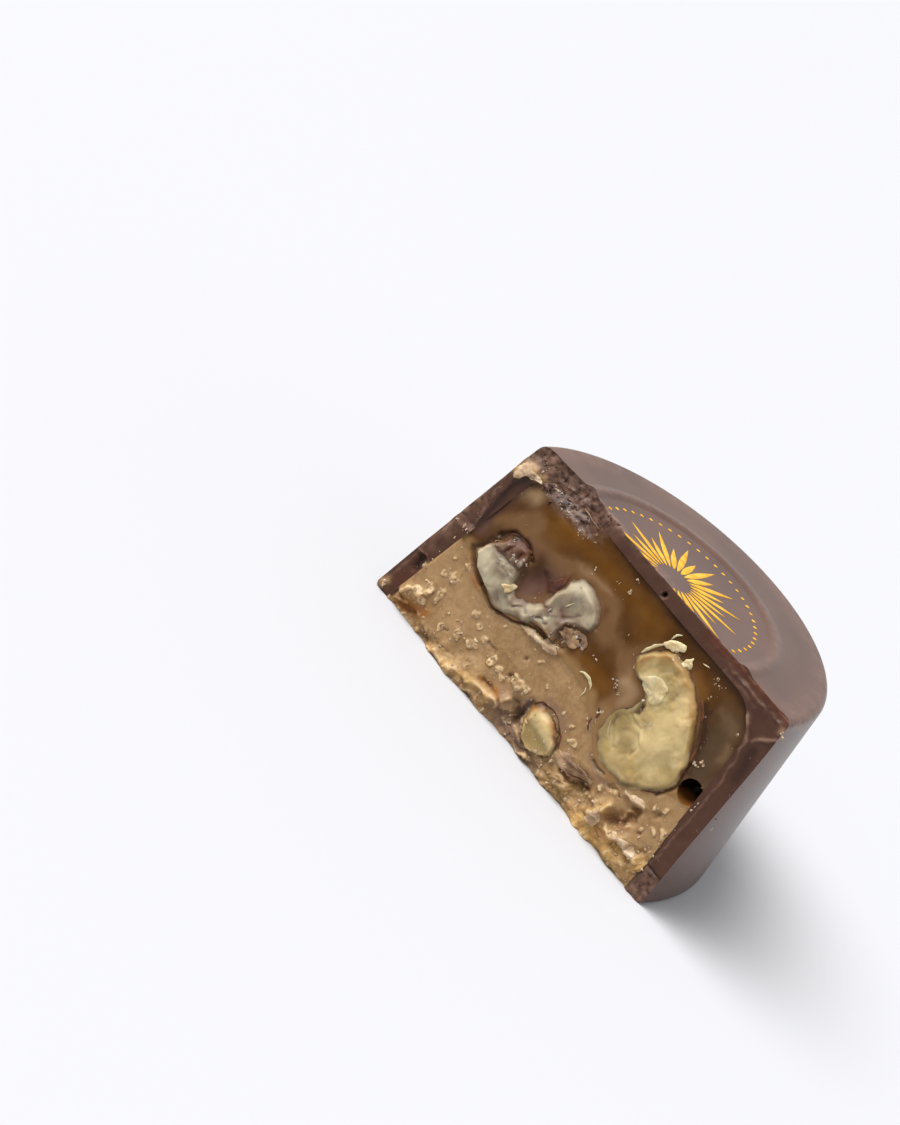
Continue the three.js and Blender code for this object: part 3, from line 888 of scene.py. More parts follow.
# Painted marks on each kernel's cut: path, half width, strength.
# Pale patches of flesh, with painted highlights on a lump of the curved kernel at (-4.5, 7.8) and on ridges
# of the large one at (7.1..8.2, 10.6..11.5) and (9.3..9.9, 8.1..8.5).
KERNEL_PALE_AND_HIGHLIGHTS = {
    "pecan_curved": [
        ([(-11.4, 7.5), (-10.2, 6.9), (-9.2, 6.5)], 0.6, 1.0),
        ([(-8.1, 7.3)], 0.4, 0.9),
        ([(-7.9, 6.2), (-6.6, 6.4)], 0.4, 0.5),
        ([(-4.6, 10.7), (-3.4, 11.1)], 0.5, 0.9),
        ([(-2.2, 10.2)], 0.5, 0.6),
        ([(-6.1, 7.8)], 0.25, 0.8),
        ([(-4.5, 7.8)], 0.25, 1.0),
        ([(-9.35, 8.85)], 0.16, 0.9),
        ([(-10.0, 8.1), (-8.5, 7.95)], 0.14, 0.7),
    ],
    "pecan_large": [
        ([(3.2, 10.2), (3.8, 10.2)], 0.18, 1.2),
        ([(4.3, 10.4), (4.8, 10.5), (5.4, 10.1)], 0.55, 1.5),
        ([(6.2, 7.9), (6.6, 7.4), (7.0, 6.9)], 0.16, 0.9),
        ([(9.3, 8.5), (9.9, 8.1)], 0.3, 0.9),
        ([(7.1, 11.5), (8.2, 10.6)], 0.25, 0.8),
        ([(6.0, 4.5), (8.0, 4.8), (9.4, 5.8)], 0.25, 0.5),
        ([(8.0, 7.4), (8.6, 9.4), (7.6, 11.2)], 1.1, 0.9),
        ([(6.2, 9.4), (6.4, 7.4)], 0.8, 0.5),
    ],
    "pecan_small": [([(-0.1, 3.1), (1.3, 3.1), (2.4, 2.6)], 0.6, 1.3)],
}
KERNEL_DULL_AND_SHADE = {
    "pecan_curved": [
        # Painted shade in the crease of the curved kernel's right arm.
        ([(-4.0, 9.1), (-3.3, 8.6)], 0.6, 0.9),
        ([(-4.9, 8.5)], 0.4, 0.7),
        ([(-7.2, 6.9), (-6.4, 7.2)], 0.3, 0.5),
        ([(-9.6, 7.6), (-8.6, 7.4)], 0.3, 0.5),
        ([(-10.9, 9.0), (-9.5, 9.3), (-8.6, 9.1)], 0.7, 1.5),
    ],
    "pecan_large": [
        ([(4.4, 5.2), (4.3, 7.0)], 0.6, 0.9),
        ([(5.2, 7.6), (5.4, 6.6), (6.4, 6.4)], 0.45, 0.7),
        ([(6.8, 5.6), (8.0, 6.0)], 0.4, 0.4),
        ([(5.6, 4.6), (8.6, 5.0)], 0.5, 0.7),
        ([(2.9, 10.9), (3.0, 11.6)], 0.4, 0.5),
    ],
    "pecan_small": [([(0.4, 1.5), (2.3, 1.5)], 0.55, 0.35)],
}
KERNEL_BROWN = {
    "pecan_curved": [
        ([(-11.1, 9.4), (-10.2, 9.9), (-8.8, 9.9)], 0.25, 0.9),
        ([(-5.3, 9.2), (-5.2, 10.6)], 0.2, 0.9),
        ([(-11.3, 8.4), (-10.4, 8.55), (-9.4, 8.45)], 0.08, 0.6),
        ([(-9.0, 9.0), (-9.1, 9.7)], 0.1, 0.6),
        ([(-10.1, 8.8), (-10.0, 9.7)], 0.1, 0.6),
        ([(-10.9, 9.3), (-9.6, 9.6), (-8.8, 9.5)], 0.4, 0.6),
        ([(-5.6, 8.35), (-5.0, 8.4)], 0.16, 0.7),
        ([(-6.5, 7.3), (-5.9, 7.9)], 0.08, 0.6),
        ([(-3.3, 7.4), (-2.8, 8.8)], 0.2, 0.5),
    ],
    "pecan_large": [
        ([(4.6, 9.5), (5.1, 9.3), (5.3, 8.8)], 0.14, 0.7),
        ([(8.9, 11.2), (10.2, 9.0), (10.9, 7.1), (10.2, 5.8)], 0.12, 0.8),
    ],
    "pecan_small": [([(-0.7, 3.3), (0.6, 4.0), (2.1, 3.3), (2.9, 2.4)], 0.16, 0.9)],
}
KERNEL_AMBER = {
    "pecan_curved": [([(-4.6, 6.9), (-3.2, 7.2)], 0.3, 0.5)],
    "pecan_large": [
        ([(3.4, 12.7), (4.8, 12.9), (6.6, 12.5), (8.0, 11.6)], 0.5, 0.55),
        ([(8.4, 11.2), (9.8, 9.6)], 0.3, 0.5),
        ([(3.0, 11.6), (2.8, 10.6)], 0.25, 0.5),
    ],
    "pecan_small": [
        ([(-0.5, 3.3), (0.5, 3.8), (2.0, 3.2)], 0.25, 0.7),
        ([(-0.3, 3.1), (-0.2, 2.0)], 0.3, 0.6),
    ],
}
KERNEL_COLOURS = {
    "grey_pecan": {"flesh": "#91816a", "pale": "#c1b69a", "dull": "#6b5040", "reach": (0.6, 0.42, 0.28)},
    "cream_pecan": {"flesh": "#ad9259", "pale": "#d2bc8a", "dull": "#937e52", "reach": (0.8, 0.5, 0.25)},
}
PECAN_SKIN = colour("#5a321c")
PECAN_SHADE = colour("#735338")
PECAN_AMBER = colour("#94631f")


def pecan_finish(name, flesh, pale, dull, reach):
    """Sliced pecan: creamy lumpy flesh, stained at its edges by the toffee, with brown skin on its sides,
    painted shade in its creases and along its outline, and painted highlights on its lumps.
    """
    material, tree, shader = new_finish(name, 0.45, 0.8, reach)
    base = layered(tree, colour(flesh), [
        (product(tree, patches(tree, 0.6, 5.0, 0.14), 0.6), colour(pale)),
        (product(tree, patches(tree, 0.42, 4.0, 0.12), 0.45), colour(dull)),
        ("dull", colour(dull)),
        (product(tree, own_value(tree, "pale"), 0.85), colour(pale)),
        # Painted shade in the creases and a painted highlight on the lumps, both taken from the relief.
        (between(tree, own_value(tree, "raised"), -0.03, -0.2, 0.0, 0.7), PECAN_SHADE),
        (between(tree, own_value(tree, "raised"), 0.02, 0.14, 0.0, 0.3), colour(pale)),
        # Painted shade along the outline, where the kernel meets the toffee.
        (product(tree, own_value(tree, "edge"), patches(tree, 0.9, 3.0, 0.3)), PECAN_SHADE),
        ("amber", PECAN_AMBER),
        ("brown", PECAN_SKIN),
        ("side", PECAN_SKIN),
    ])
    put(tree, shader["Base Color"], base)
    put(tree, shader["Normal"], uneven(tree, 2.2, 0.03, 4.0))
    return material


pecan_finishes = {name: pecan_finish(name, **values) for name, values in KERNEL_COLOURS.items()}
KERNEL_FINISH = {"pecan_curved": "grey_pecan", "pecan_large": "cream_pecan", "pecan_small": "cream_pecan"}


def dress_kernel(piece, name):
    """Paints a kernel's masks onto its points, and gives it its finish."""
    relief = kernel_relief(name)
    x, _, z = points_of(piece).T
    cut = on_knife(piece, relief)
    add_value(piece, "side", 1 - np.array(whole_faces(piece, cut)), "FACE")
    for mask, marks in (("pale", KERNEL_PALE_AND_HIGHLIGHTS), ("dull", KERNEL_DULL_AND_SHADE), ("amber", KERNEL_AMBER)):
        add_value(piece, mask, painted(x, z, marks[name], 0.2))
    add_value(piece, "brown", painted(x, z, KERNEL_BROWN[name], 0.12))
    # Painted shade along the outline, where the kernel meets the toffee.
    add_value(piece, "edge", 0.4 * np.exp(-((outline_distance(x, z, name) / 0.3) ** 2)))
    add_value(piece, "raised", raised(x, z, relief) * cut)
    piece.data.materials.append(pecan_finishes[KERNEL_FINISH[name]])
    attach(piece, "root")
    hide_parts(name)


for kernel_name, pecan in PECANS.items():
    kernel = kernel_solid(kernel_name + "_visual", pecan)
    outline = np.array(pecan["outline"])
    carve(kernel, inside(0.03), "INTERSECT")
    carve(kernel, knife(kernel_relief(kernel_name), outline.min(0) - 1, outline.max(0) + 1, 0.09))
    finish_mesh(kernel)
    dress_kernel(kernel, kernel_name)

# ---- the toffee ----
# Two kinds of toffee fill the shell: a glassy amber one above, and a pale one below, crumbled at its base.
# Both are the shell's space less the pecans and an air bubble, parted by a wavy level and cut by one relief.

FINE_STEP = 0.08
BUBBLE = {"x": 11.8, "z": 7.55, "radius": 0.95, "depth": 1.9}


def under_layer(clearance):
    """A block under the pale toffee's upper face, lifted by a clearance."""
    x, y = np.linspace(-17, 17, 97), np.linspace(-24, 24, 33)
    gx, gy = np.meshgrid(x, y)
    dips = sum(depth * np.exp(-(((gx - at) / width) ** 2)) for at, depth, width in PALE_DIPS)
    top = np.stack([gx, gy, PALE_LEVEL - dips + 0.4 * np.sin(gy / 3) + clearance], 2).reshape(-1, 3)
    bottom = top * [1, 1, 0] + [0, 0, -2]
    grid = np.arange(gx.size).reshape(gx.shape)
    faces = []
    for layer in (grid, grid + gx.size):
        faces += grid_faces(layer)
    edge = grid_edge(grid)
    for i in range(len(edge)):
        a, b = edge[i], edge[(i + 1) % len(edge)]
        faces.append((a, b, b + gx.size, a + gx.size))
    return face_outwards(new_piece("under_layer", np.concatenate([top, bottom]), faces))


def bubble():
    """The air bubble: a long ball that opens at the cut."""
    rings = []
    for latitude in np.linspace(-math.pi / 2, math.pi / 2, 17):
        turn = np.linspace(0, 2 * math.pi, 32, endpoint=False) if abs(latitude) < 1.57 else np.zeros(1)
        ring = np.stack([np.cos(turn), np.zeros_like(turn), np.sin(turn)], 1) * math.cos(latitude)
        ring[:, 1] = math.sin(latitude)
        rings.append(ring * [BUBBLE["radius"], BUBBLE["depth"], BUBBLE["radius"]])
    points, faces = loft(rings)
    points += [BUBBLE["x"], cut_at(BUBBLE["x"], BUBBLE["z"]), BUBBLE["z"]]
    return face_outwards(new_piece("bubble", points, faces))


toffee_pale = inside(0.02)
carve(toffee_pale, bubble())
for pecan in PECANS.values():
    carve(toffee_pale, kernel_solid("pocket", pecan, 0.012))
toffee_amber = bpy.data.objects.new("amber_visual", toffee_pale.data.copy())
bpy.context.scene.collection.objects.link(toffee_amber)
for piece, name, clearance, operation in (
    (toffee_pale, "pale_visual", 0.0, "INTERSECT"),
    (toffee_amber, "amber_visual", 0.004, "DIFFERENCE"),
):
    carve(piece, under_layer(clearance), operation)
    carve(piece, knife(toffee_relief, step=FINE_STEP))
    piece.name = piece.data.name = name
    finish_mesh(piece)

# Painted marks on the toffees' cuts: path, half width, strength.
PALE_GOLDEN = [
    ([(-9.3, -0.2), (-6.0, 0.8), (-3.5, 1.2)], 0.5, 1.0),
    ([(4.2, 0.5), (8.0, 1.0)], 0.7, 0.9),
    ([(7.7, 1.0), (8.4, 2.8)], 0.5, 1.3),
    ([(8.0, 0.7), (13.0, 1.3)], 0.9, 1.4),
    ([(-13.6, 1.5), (-12.4, 2.4)], 0.4, 0.6),
]
# Mostly painted shade in orange-brown: in pockets and creases of the pale toffee and in the gap under the
# curved kernel.
PALE_ORANGE_SHADE = [
    ([(-13.4, 0.5), (-12.4, 0.8), (-11.6, 1.2)], 0.5, 1.4),
    ([(-12.0, 6.8), (-11.3, 6.35), (-10.3, 5.9), (-9.5, 5.75)], 0.3, 1.0),
    ([(-4.8, 1.7), (-3.6, 1.75), (-2.7, 1.6)], 0.2, 0.9),
    ([(8.6, 1.2), (9.4, 1.0)], 0.4, 0.5),
    ([(9.6, 3.2), (10.4, 3.2)], 0.3, 0.5),
]
# Mostly painted shade in brown: in the gap under the curved kernel, in pockets and pits and in the line under
# the streaked flake; the rest is the toffee's own brown on that flake and in flecks.
PALE_BROWN_AND_SHADE = [
    ([(-11.9, 6.95), (-11.2, 6.45), (-10.1, 6.05)], 0.25, 1.0),
    ([(9.0, 2.4), (10.1, 2.5)], 0.4, 0.9),
    ([(3.4, 2.4), (4.8, 2.6), (6.6, 2.7)], 0.4, 0.5),
    ([(4.2, 1.75), (5.4, 1.85), (6.4, 2.2)], 0.16, 1.0),
    ([(9.9, 3.1), (10.3, 3.5), (10.1, 4.0)], 0.18, 0.9),
    ([(-3.3, 4.9)], 0.2, 0.9),
    ([(2.9, 5.2), (3.3, 6.3)], 0.2, 0.5),
]
PALE_GREY = [
    ([(-2.5, 1.3), (-1.4, 0.6), (0.2, 0.6)], 0.8, 0.8),
    ([(-1.1, 1.6), (-1.0, 2.8)], 0.45, 1.0),
    ([(1.0, 0.4), (2.8, 0.5)], 0.5, 0.5),
    ([(4.9, 4.0), (7.0, 3.7)], 0.35, 0.7),
    ([(3.7, 5.0), (4.0, 6.4)], 0.3, 0.5),
    ([(0.2, 4.2), (2.2, 3.9)], 0.4, 0.5),
]
AMBER_FILM = [
    ([(-6.6, 10.6), (-5.6, 11.8), (-3.2, 12.3), (-1.2, 11.8), (-0.6, 10.6)], 0.6, 1.1),
    ([(-0.8, 10.0), (0.6, 10.4), (2.2, 10.2)], 0.8, 0.8),
    ([(-9.8, 10.6), (-8.0, 11.0), (-6.4, 10.8)], 0.8, 0.9),
    ([(-12.2, 9.7), (-11.0, 11.1), (-9.9, 12.0)], 0.8, 0.9),
    ([(-10.9, 10.6), (-9.4, 11.8)], 0.35, 0.6),
    ([(1.9, 11.0), (2.5, 12.6)], 0.4, 0.5),
    ([(2.1, 9.8), (2.8, 9.1)], 0.6, 1.4),
    ([(3.2, 6.4), (3.6, 7.6)], 0.8, 1.3),
    ([(-0.6, 7.4), (-1.0, 8.6)], 0.4, 0.5),
]
# A pale haze on the amber; the mark at the upper left is a painted sheen.
AMBER_HAZE_AND_SHEEN = [
    ([(3.2, 9.2), (4.0, 8.9), (4.2, 8.0)], 0.6, 0.8),
    ([(2.7, 9.7), (3.3, 8.4)], 0.5, 0.25),
    ([(-12.9, 12.4), (-11.3, 12.8)], 0.6, 0.8),
    ([(-5.3, 12.1), (-2.4, 12.3)], 0.22, 0.4),
    ([(11.9, 6.7), (13.0, 6.9)], 0.35, 0.8),
    ([(9.6, 12.9), (11.0, 12.4)], 0.4, 0.2),
    ([(11.6, 11.4), (11.9, 10.4)], 0.35, 0.25),
]
AMBER_GREY = [
    ([(10.6, 12.4), (11.2, 9.2)], 1.7, 0.9),
    ([(12.2, 8.2)], 1.0, 0.5),
    ([(-12.3, 12.9), (-11.2, 13.0)], 0.5, 0.3),
    ([(-12.4, 8.6)], 0.9, 0.5),
]
AMBER_MAUVE = [
    ([(-7.6, 8.0), (-6.2, 9.6)], 1.0, 1.0),
    ([(-13.0, 8.6), (-13.2, 10.4), (-12.9, 11.9)], 0.55, 0.9),
    ([(-9.4, 10.4), (-8.2, 10.2)], 0.4, 0.5),
]
# Painted shade: in the recess by the left wall, under the shell at the right and along the ceiling, round the
# curved kernel, at the hollow's edge and along the large kernel's right edge.
AMBER_SHADE = [
    ([(-13.7, 8.8), (-13.7, 12.0), (-12.9, 13.4)], 0.42, 0.6),
    ([(6.5, 14.45), (10.6, 14.2), (12.2, 12.6), (12.8, 10.0)], 0.3, 0.6),
    ([(-12.2, 7.4), (-11.6, 8.6), (-10.9, 9.9), (-9.6, 10.2)], 0.22, 0.8),
    ([(-2.0, 14.6), (5.0, 14.5)], 0.25, 0.4),
    ([(-7.9, 8.8), (-7.5, 7.6)], 0.25, 0.4),
    ([(8.2, 12.4), (9.2, 11.2), (10.3, 9.9), (10.8, 8.4)], 0.22, 0.6),
    ([(-7.0, 9.9), (-5.6, 8.9)], 0.12, 0.6),
]
AMBER_GLOW = [
    ([(-8.5, 13.0), (-4.0, 13.3), (2.0, 13.4)], 0.8, 0.7),
    ([(-9.6, 12.2), (-7.6, 12.0)], 0.7, 0.7),
    ([(-0.9, 7.7), (0.8, 7.9), (2.1, 7.6)], 0.7, 1.0),
    ([(6.4, 13.1), (7.8, 12.6)], 0.4, 0.9),
    ([(0.6, 13.0), (1.4, 12.0)], 0.6, 0.5),
]
# Toffee colours. Some carry painted light: brown and orange darken gaps, pockets and hollows as painted
# shade, orange also lights the bubble's lower wall, the near-black fills the bubble with painted shade, crumb
# also paints highlights on raised bits and haze also paints a sheen on the amber at the upper left.
TOFFEE_COLOURS = {
    "low": "#8f6e47",
    "high": "#a3825a",
    "crumb": "#ceb288",
    "golden": "#c89f5f",
    "orange": "#9a6430",
    "brown": "#845c3c",
    "grey": "#7c6253",
    "level": "#8c6c46",
    "clear": "#452706",
    "film": "#7a5939",
    "haze": "#9a7c5c",
    "dull": "#4f3c2a",
    "mauve": "#624338",
    "glow": "#67400e",
    "shade": "#2c180c",
    "hole": "#0f0401",
}
TOFFEE = {name: colour(code) for name, code in TOFFEE_COLOURS.items()}


def gap_shade(x, z):
    """The dark line where the toffee meets a kernel."""
    near = sum(np.exp(-((outline_distance(x, z, name) / 0.1) ** 2)) for name in PECANS)
    gaps = strokes(*warp(x, z, 0.6, 0.1, 82), [(path, width, 1.0) for path, width, _ in GAP_MARKS])
    return np.clip(near * np.clip(0.1 + 0.6 * bumps(x, z, 0.9, 81), 0, 1) + 0.5 * gaps, 0, 1)


def height_over_level(x, z):
    """How high each place lies over the line between the toffees, unevenly."""
    return z - level_at(x) + 0.2 * rough(x, z, 1.0, 83)


def dress_toffee(piece, masks):
    """Paints a toffee's masks, the shade in its gaps and the film beside the kernels onto its points."""
    x, _, z = points_of(piece).T
    for mask, marks in masks.items():
        add_value(piece, mask, painted(x, z, marks, 0.18))
    add_value(piece, "gap", gap_shade(x, z))
    near = sum(np.exp(-((outline_distance(x, z, name) / 0.4) ** 2)) for name in PECANS)
    add_value(piece, "near", np.clip(near, 0, 1) * (0.5 + 0.4 * bumps(x, z, 1.1, 84)))
    cut = on_knife(piece, toffee_relief)
    add_value(piece, "raised", np.clip(raised(x, z, toffee_relief), -0.4, 0.4) * cut)


pale_masks = {"golden": PALE_GOLDEN, "orange": PALE_ORANGE_SHADE, "brown": PALE_BROWN_AND_SHADE, "grey": PALE_GREY}
dress_toffee(toffee_pale, pale_masks)
pale_x, _, pale_z = points_of(toffee_pale).T
add_value(toffee_pale, "head", 0.5 * smooth(height_over_level(pale_x, pale_z), -0.8, 0.0))
add_value(toffee_pale, "crumbs", lump_share(pale_x, pale_z))
pale_toffee, tree, shader = new_finish("pale_toffee", 0.5, 0.6, (0.7, 0.45, 0.22), 0.2)
lump_colour = tint(tree, TOFFEE["high"], patches(tree, 3.0, 3.0, 0.12), TOFFEE["crumb"])
base = layered(tree, TOFFEE["low"], [
    (patches(tree, 0.35, 3.0, 0.2), TOFFEE["high"]),
    (product(tree, patches(tree, 3.0, 3.0, 0.12), 0.15), TOFFEE["crumb"]),
    (product(tree, own_value(tree, "golden"), patches(tree, 0.9, 4.0, 0.35)), TOFFEE["golden"]),
    ("grey", TOFFEE["grey"]),
    ("head", TOFFEE["film"]),
    # Orange-brown and brown, mostly painted shade in pockets, gaps and pits.
    ("orange", TOFFEE["orange"]),
    ("brown", TOFFEE["brown"]),
    (between(tree, own_value(tree, "crumbs"), 0.3, 0.8), lump_colour),
    # A painted highlight on the relief's raised bits and painted shade in its hollows.
    (product(tree, between(tree, own_value(tree, "raised"), 0.02, 0.16), 0.7), TOFFEE["crumb"]),
    (between(tree, own_value(tree, "raised"), -0.03, -0.3, 0.0, 0.6), TOFFEE["brown"]),
    (product(tree, own_value(tree, "near"), 0.4), TOFFEE["film"]),
    ("gap", TOFFEE["shade"]),
    (product(tree, specks(tree, 0.9, 0.2, 0.16), 0.6), TOFFEE["crumb"]),
])
put(tree, shader["Base Color"], base)
put(tree, shader["Normal"], uneven(tree, 1.6, 0.04, 4.0))
toffee_pale.data.materials.append(pale_toffee)

amber_masks = {"film": AMBER_FILM, "haze": AMBER_HAZE_AND_SHEEN, "dull": AMBER_GREY, "mauve": AMBER_MAUVE}
dress_toffee(toffee_amber, {**amber_masks, "dark": AMBER_SHADE, "glow": AMBER_GLOW})
amber_x, _, amber_z = points_of(toffee_amber).T
amber_foot = 1 - smooth(height_over_level(amber_x, amber_z), 0.0, 0.8)
beside_neck = np.exp(-((distance(amber_x, amber_z, [(3.4, 5.4), (3.6, 6.6)]) / 0.7) ** 2))
add_value(toffee_amber, "foot", np.maximum(amber_foot, beside_neck))
add_value(toffee_amber, "crumbled", shell_crumbled(amber_x, amber_z))
# Painted shade: the bubble's inside is near black, and its lower wall is orange-brown as a painted pool of
# light.
from_bubble = np.hypot(amber_x - BUBBLE["x"], amber_z - BUBBLE["z"])
in_bubble = (from_bubble < BUBBLE["radius"] + 0.03) * (1 - on_knife(toffee_amber, toffee_relief))
add_value(toffee_amber, "bubble", in_bubble)
add_value(toffee_amber, "lit_bubble_foot", in_bubble * smooth(BUBBLE["z"] - 0.25 - amber_z, 0.0, 0.5))
inner_line = [(TOP_HALF_WIDTH + DRAFT - WALL, 0.0)]
corner_at = TOP_HALF_WIDTH - WALL - INNER_RADIUS
inner_line += quarter_round(corner_at, CEILING - INNER_RADIUS, INNER_RADIUS, 0.1, 8)
left_line = [(-x, z - CEILING_SLOPE * x * z / CEILING) for x, z in inner_line]
right_line = [(x, z + CEILING_SLOPE * x * z / CEILING) for x, z in inner_line]
from_wall = distance(amber_x, amber_z, left_line + right_line[::-1])
wall_shade = 0.8 * np.exp(-((from_wall / 0.35) ** 2)) * (0.7 + 0.3 * bumps(amber_x, amber_z, 1.3, 85))
add_value(toffee_amber, "wall", wall_shade)
amber_toffee, tree, shader = new_finish("amber_toffee", 0.33, 0.35, (0.7, 0.4, 0.15), 0.15)
base = layered(tree, TOFFEE["clear"], [
    (product(tree, patches(tree, 0.3, 2.0, 0.25), 0.35), TOFFEE["glow"]),
    ("glow", TOFFEE["glow"]),
    (between(tree, own_value(tree, "film"), 0.0, 1.4), TOFFEE["film"]),
    ("dull", TOFFEE["dull"]),
    ("mauve", TOFFEE["mauve"]),
    # Pale haze, and at the upper left a painted sheen.
    ("haze", TOFFEE["haze"]),
    (product(tree, patches(tree, 0.9, 5.0, 0.2), 0.06), TOFFEE["haze"]),
    ("near", TOFFEE["film"]),
    ("foot", TOFFEE["level"]),
    # Painted shade in recesses, along the walls and in the gaps.
    ("dark", TOFFEE["shade"]),
    ("wall", TOFFEE["shade"]),
    ("gap", TOFFEE["shade"]),
    ("crumbled", crumbled_chocolate(tree)),
    (product(tree, specks(tree, 0.8, 0.1, 0.12), 0.5), TOFFEE["haze"]),
    # Painted shade inside the bubble and painted light on its lower wall.
    ("bubble", TOFFEE["hole"]),
    (product(tree, own_value(tree, "lit_bubble_foot"), 0.6), TOFFEE["orange"]),
])
put(tree, shader["Base Color"], base)
put(tree, shader["Roughness"], between(tree, own_value(tree, "mauve"), 0.0, 0.7, 0.33, 0.6))
put(tree, shader["Normal"], uneven(tree, 0.8, 0.03, 3.0))
toffee_amber.data.materials.append(amber_toffee)

for piece, node, finish in (
    (toffee_pale, "toffee_pale", "pale_toffee"),
    (toffee_amber, "toffee_amber", "amber_toffee"),
):
    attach(piece, "root")
    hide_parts(node)

# ---- the crumbs ----
# Toffee, nut and chocolate crumbs that the knife left on the cut face.
# They are small balls flattened and knocked out of shape by Geometry Nodes on points that lie on the cut.

# Spots where crumbs lie together: x, z and size across.
TOFFEE_CRUMBS = [
    (-7.0, 13.4, 0.2), (-6.4, 13.7, 0.15), (-5.8, 13.9, 0.15), (-4.3, 12.7, 0.2), (-2.5, 13.3, 0.25),
    (-1.4, 13.45, 0.35), (-1.5, 14.4, 0.2), (0.8, 11.5, 0.12), (0.4, 8.6, 0.25), (0.0, 8.7, 0.12),
    (7.6, 14.0, 0.3), (7.7, 13.7, 0.2), (8.15, 13.7, 0.2), (8.1, 12.7, 0.2), (11.3, 12.55, 0.2),
    (11.0, 9.4, 0.4), (10.6, 9.0, 0.35), (13.4, 14.85, 0.35), (2.5, 8.7, 0.3), (2.8, 8.4, 0.3),
    (3.2, 8.2, 0.25), (3.2, 5.4, 0.35), (3.5, 5.9, 0.3), (3.2, 6.5, 0.35), (-15.35, 0.45, 0.5),
    (-13.9, 3.7, 0.35), (-14.7, 7.6, 0.3), (-13.9, 7.65, 0.3), (-13.5, 7.5, 0.3), (-4.4, 6.4, 0.4),
    (-3.7, 6.6, 0.4), (-2.4, 7.1, 0.4), (12.75, 7.0, 0.3), (-2.6, 8.9, 0.3), (-1.9, 9.1, 0.3),
    (-2.5, 7.6, 0.4), (4.3, 13.0, 0.5), (5.4, 13.1, 0.4), (-12.4, 12.3, 0.15),
]
NUT_CRUMBS = [
    (-10.8, 14.15, 0.4), (-10.2, 14.35, 0.3), (-10.9, 13.7, 0.3), (-9.6, 13.75, 0.4), (-8.7, 13.7, 0.45),
    (-8.0, 13.75, 0.35), (-7.3, 13.6, 0.25), (-6.7, 13.55, 0.2), (-9.3, 14.2, 0.25), (-12.3, 14.6, 0.3),
    (-7.85, 7.3, 0.3), (4.9, 9.2, 0.35), (5.2, 8.8, 0.35), (5.1, 8.45, 0.3), (5.5, 9.0, 0.25),
    (-9.35, 8.85, 0.4), (-8.6, 9.1, 0.5), (-10.3, 9.4, 0.35), (-9.95, 8.1, 0.3), (-9.3, 8.1, 0.3),
    (-8.5, 7.95, 0.3), (-2.55, 8.4, 0.35), (-2.1, 8.75, 0.35), (-1.6, 8.9, 0.4), (-1.15, 8.65, 0.35),
    (-0.9, 8.3, 0.3), (-2.2, 7.7, 0.4), (-4.5, 7.7, 0.3), (-4.3, 8.5, 0.3), (-3.4, 7.5, 0.4),
    (-5.2, 7.3, 0.3), (6.5, 8.3, 0.3), (5.6, 6.0, 0.25),
]
CHOCOLATE_CRUMBS = [
    (-11.4, 13.9, 0.6), (-10.6, 13.8, 0.6), (-9.6, 14.2, 0.6), (-8.6, 14.1, 0.5), (-7.6, 14.3, 0.5),
    (-14.0, 10.2, 0.25), (-14.05, 10.8, 0.3), (-14.0, 11.3, 0.25), (-13.5, 9.0, 0.3), (-14.55, 9.0, 0.25),
    (-14.4, 9.9, 0.2), (13.6, 5.7, 0.2), (14.0, 6.2, 0.15), (13.5, 3.0, 0.2), (13.9, 9.5, 0.15),
    (14.2, 0.6, 0.4), (13.7, 0.4, 0.4), (-14.5, 3.0, 0.35), (-14.8, 2.2, 0.25), (-6.4, 15.7, 0.35),
    (-5.6, 15.8, 0.35), (-12.9, 14.9, 0.4), (-12.0, 15.2, 0.4), (-11.0, 15.0, 0.35), (-10.0, 15.3, 0.35),
    (10.2, 10.0, 0.3), (10.0, 10.6, 0.3), (9.5, 11.3, 0.3), (8.9, 12.0, 0.35),
]


def side_at(z, wall=0.0):
    """How far the shell's side is from the middle at each height, less a wall."""
    return TOP_HALF_WIDTH + DRAFT - wall - DRAFT * z / (HEIGHT - 0.5)


def cut_surface(x, z):
    """How far the finished cut stands out at each place, whichever piece is in front there."""
    height = toffee_relief(x, z)
    height = np.where((np.abs(x) > side_at(z, WALL)) | (z > CEILING), shell_relief(x, z), height)
    for name in PECANS:
        loop = outline_loop(PECANS[name]["outline"])[::2]
        turns = np.zeros(np.shape(x))
        for (ax, az), (bx, bz) in zip(loop, np.roll(loop, -1, 0)):
            a, b = np.arctan2(az - z, ax - x), np.arctan2(bz - z, bx - x)
            turns += (b - a + math.pi) % (2 * math.pi) - math.pi
        height = np.where(np.abs(turns) > math.pi, kernel_relief(name)(x, z), height)
    return height


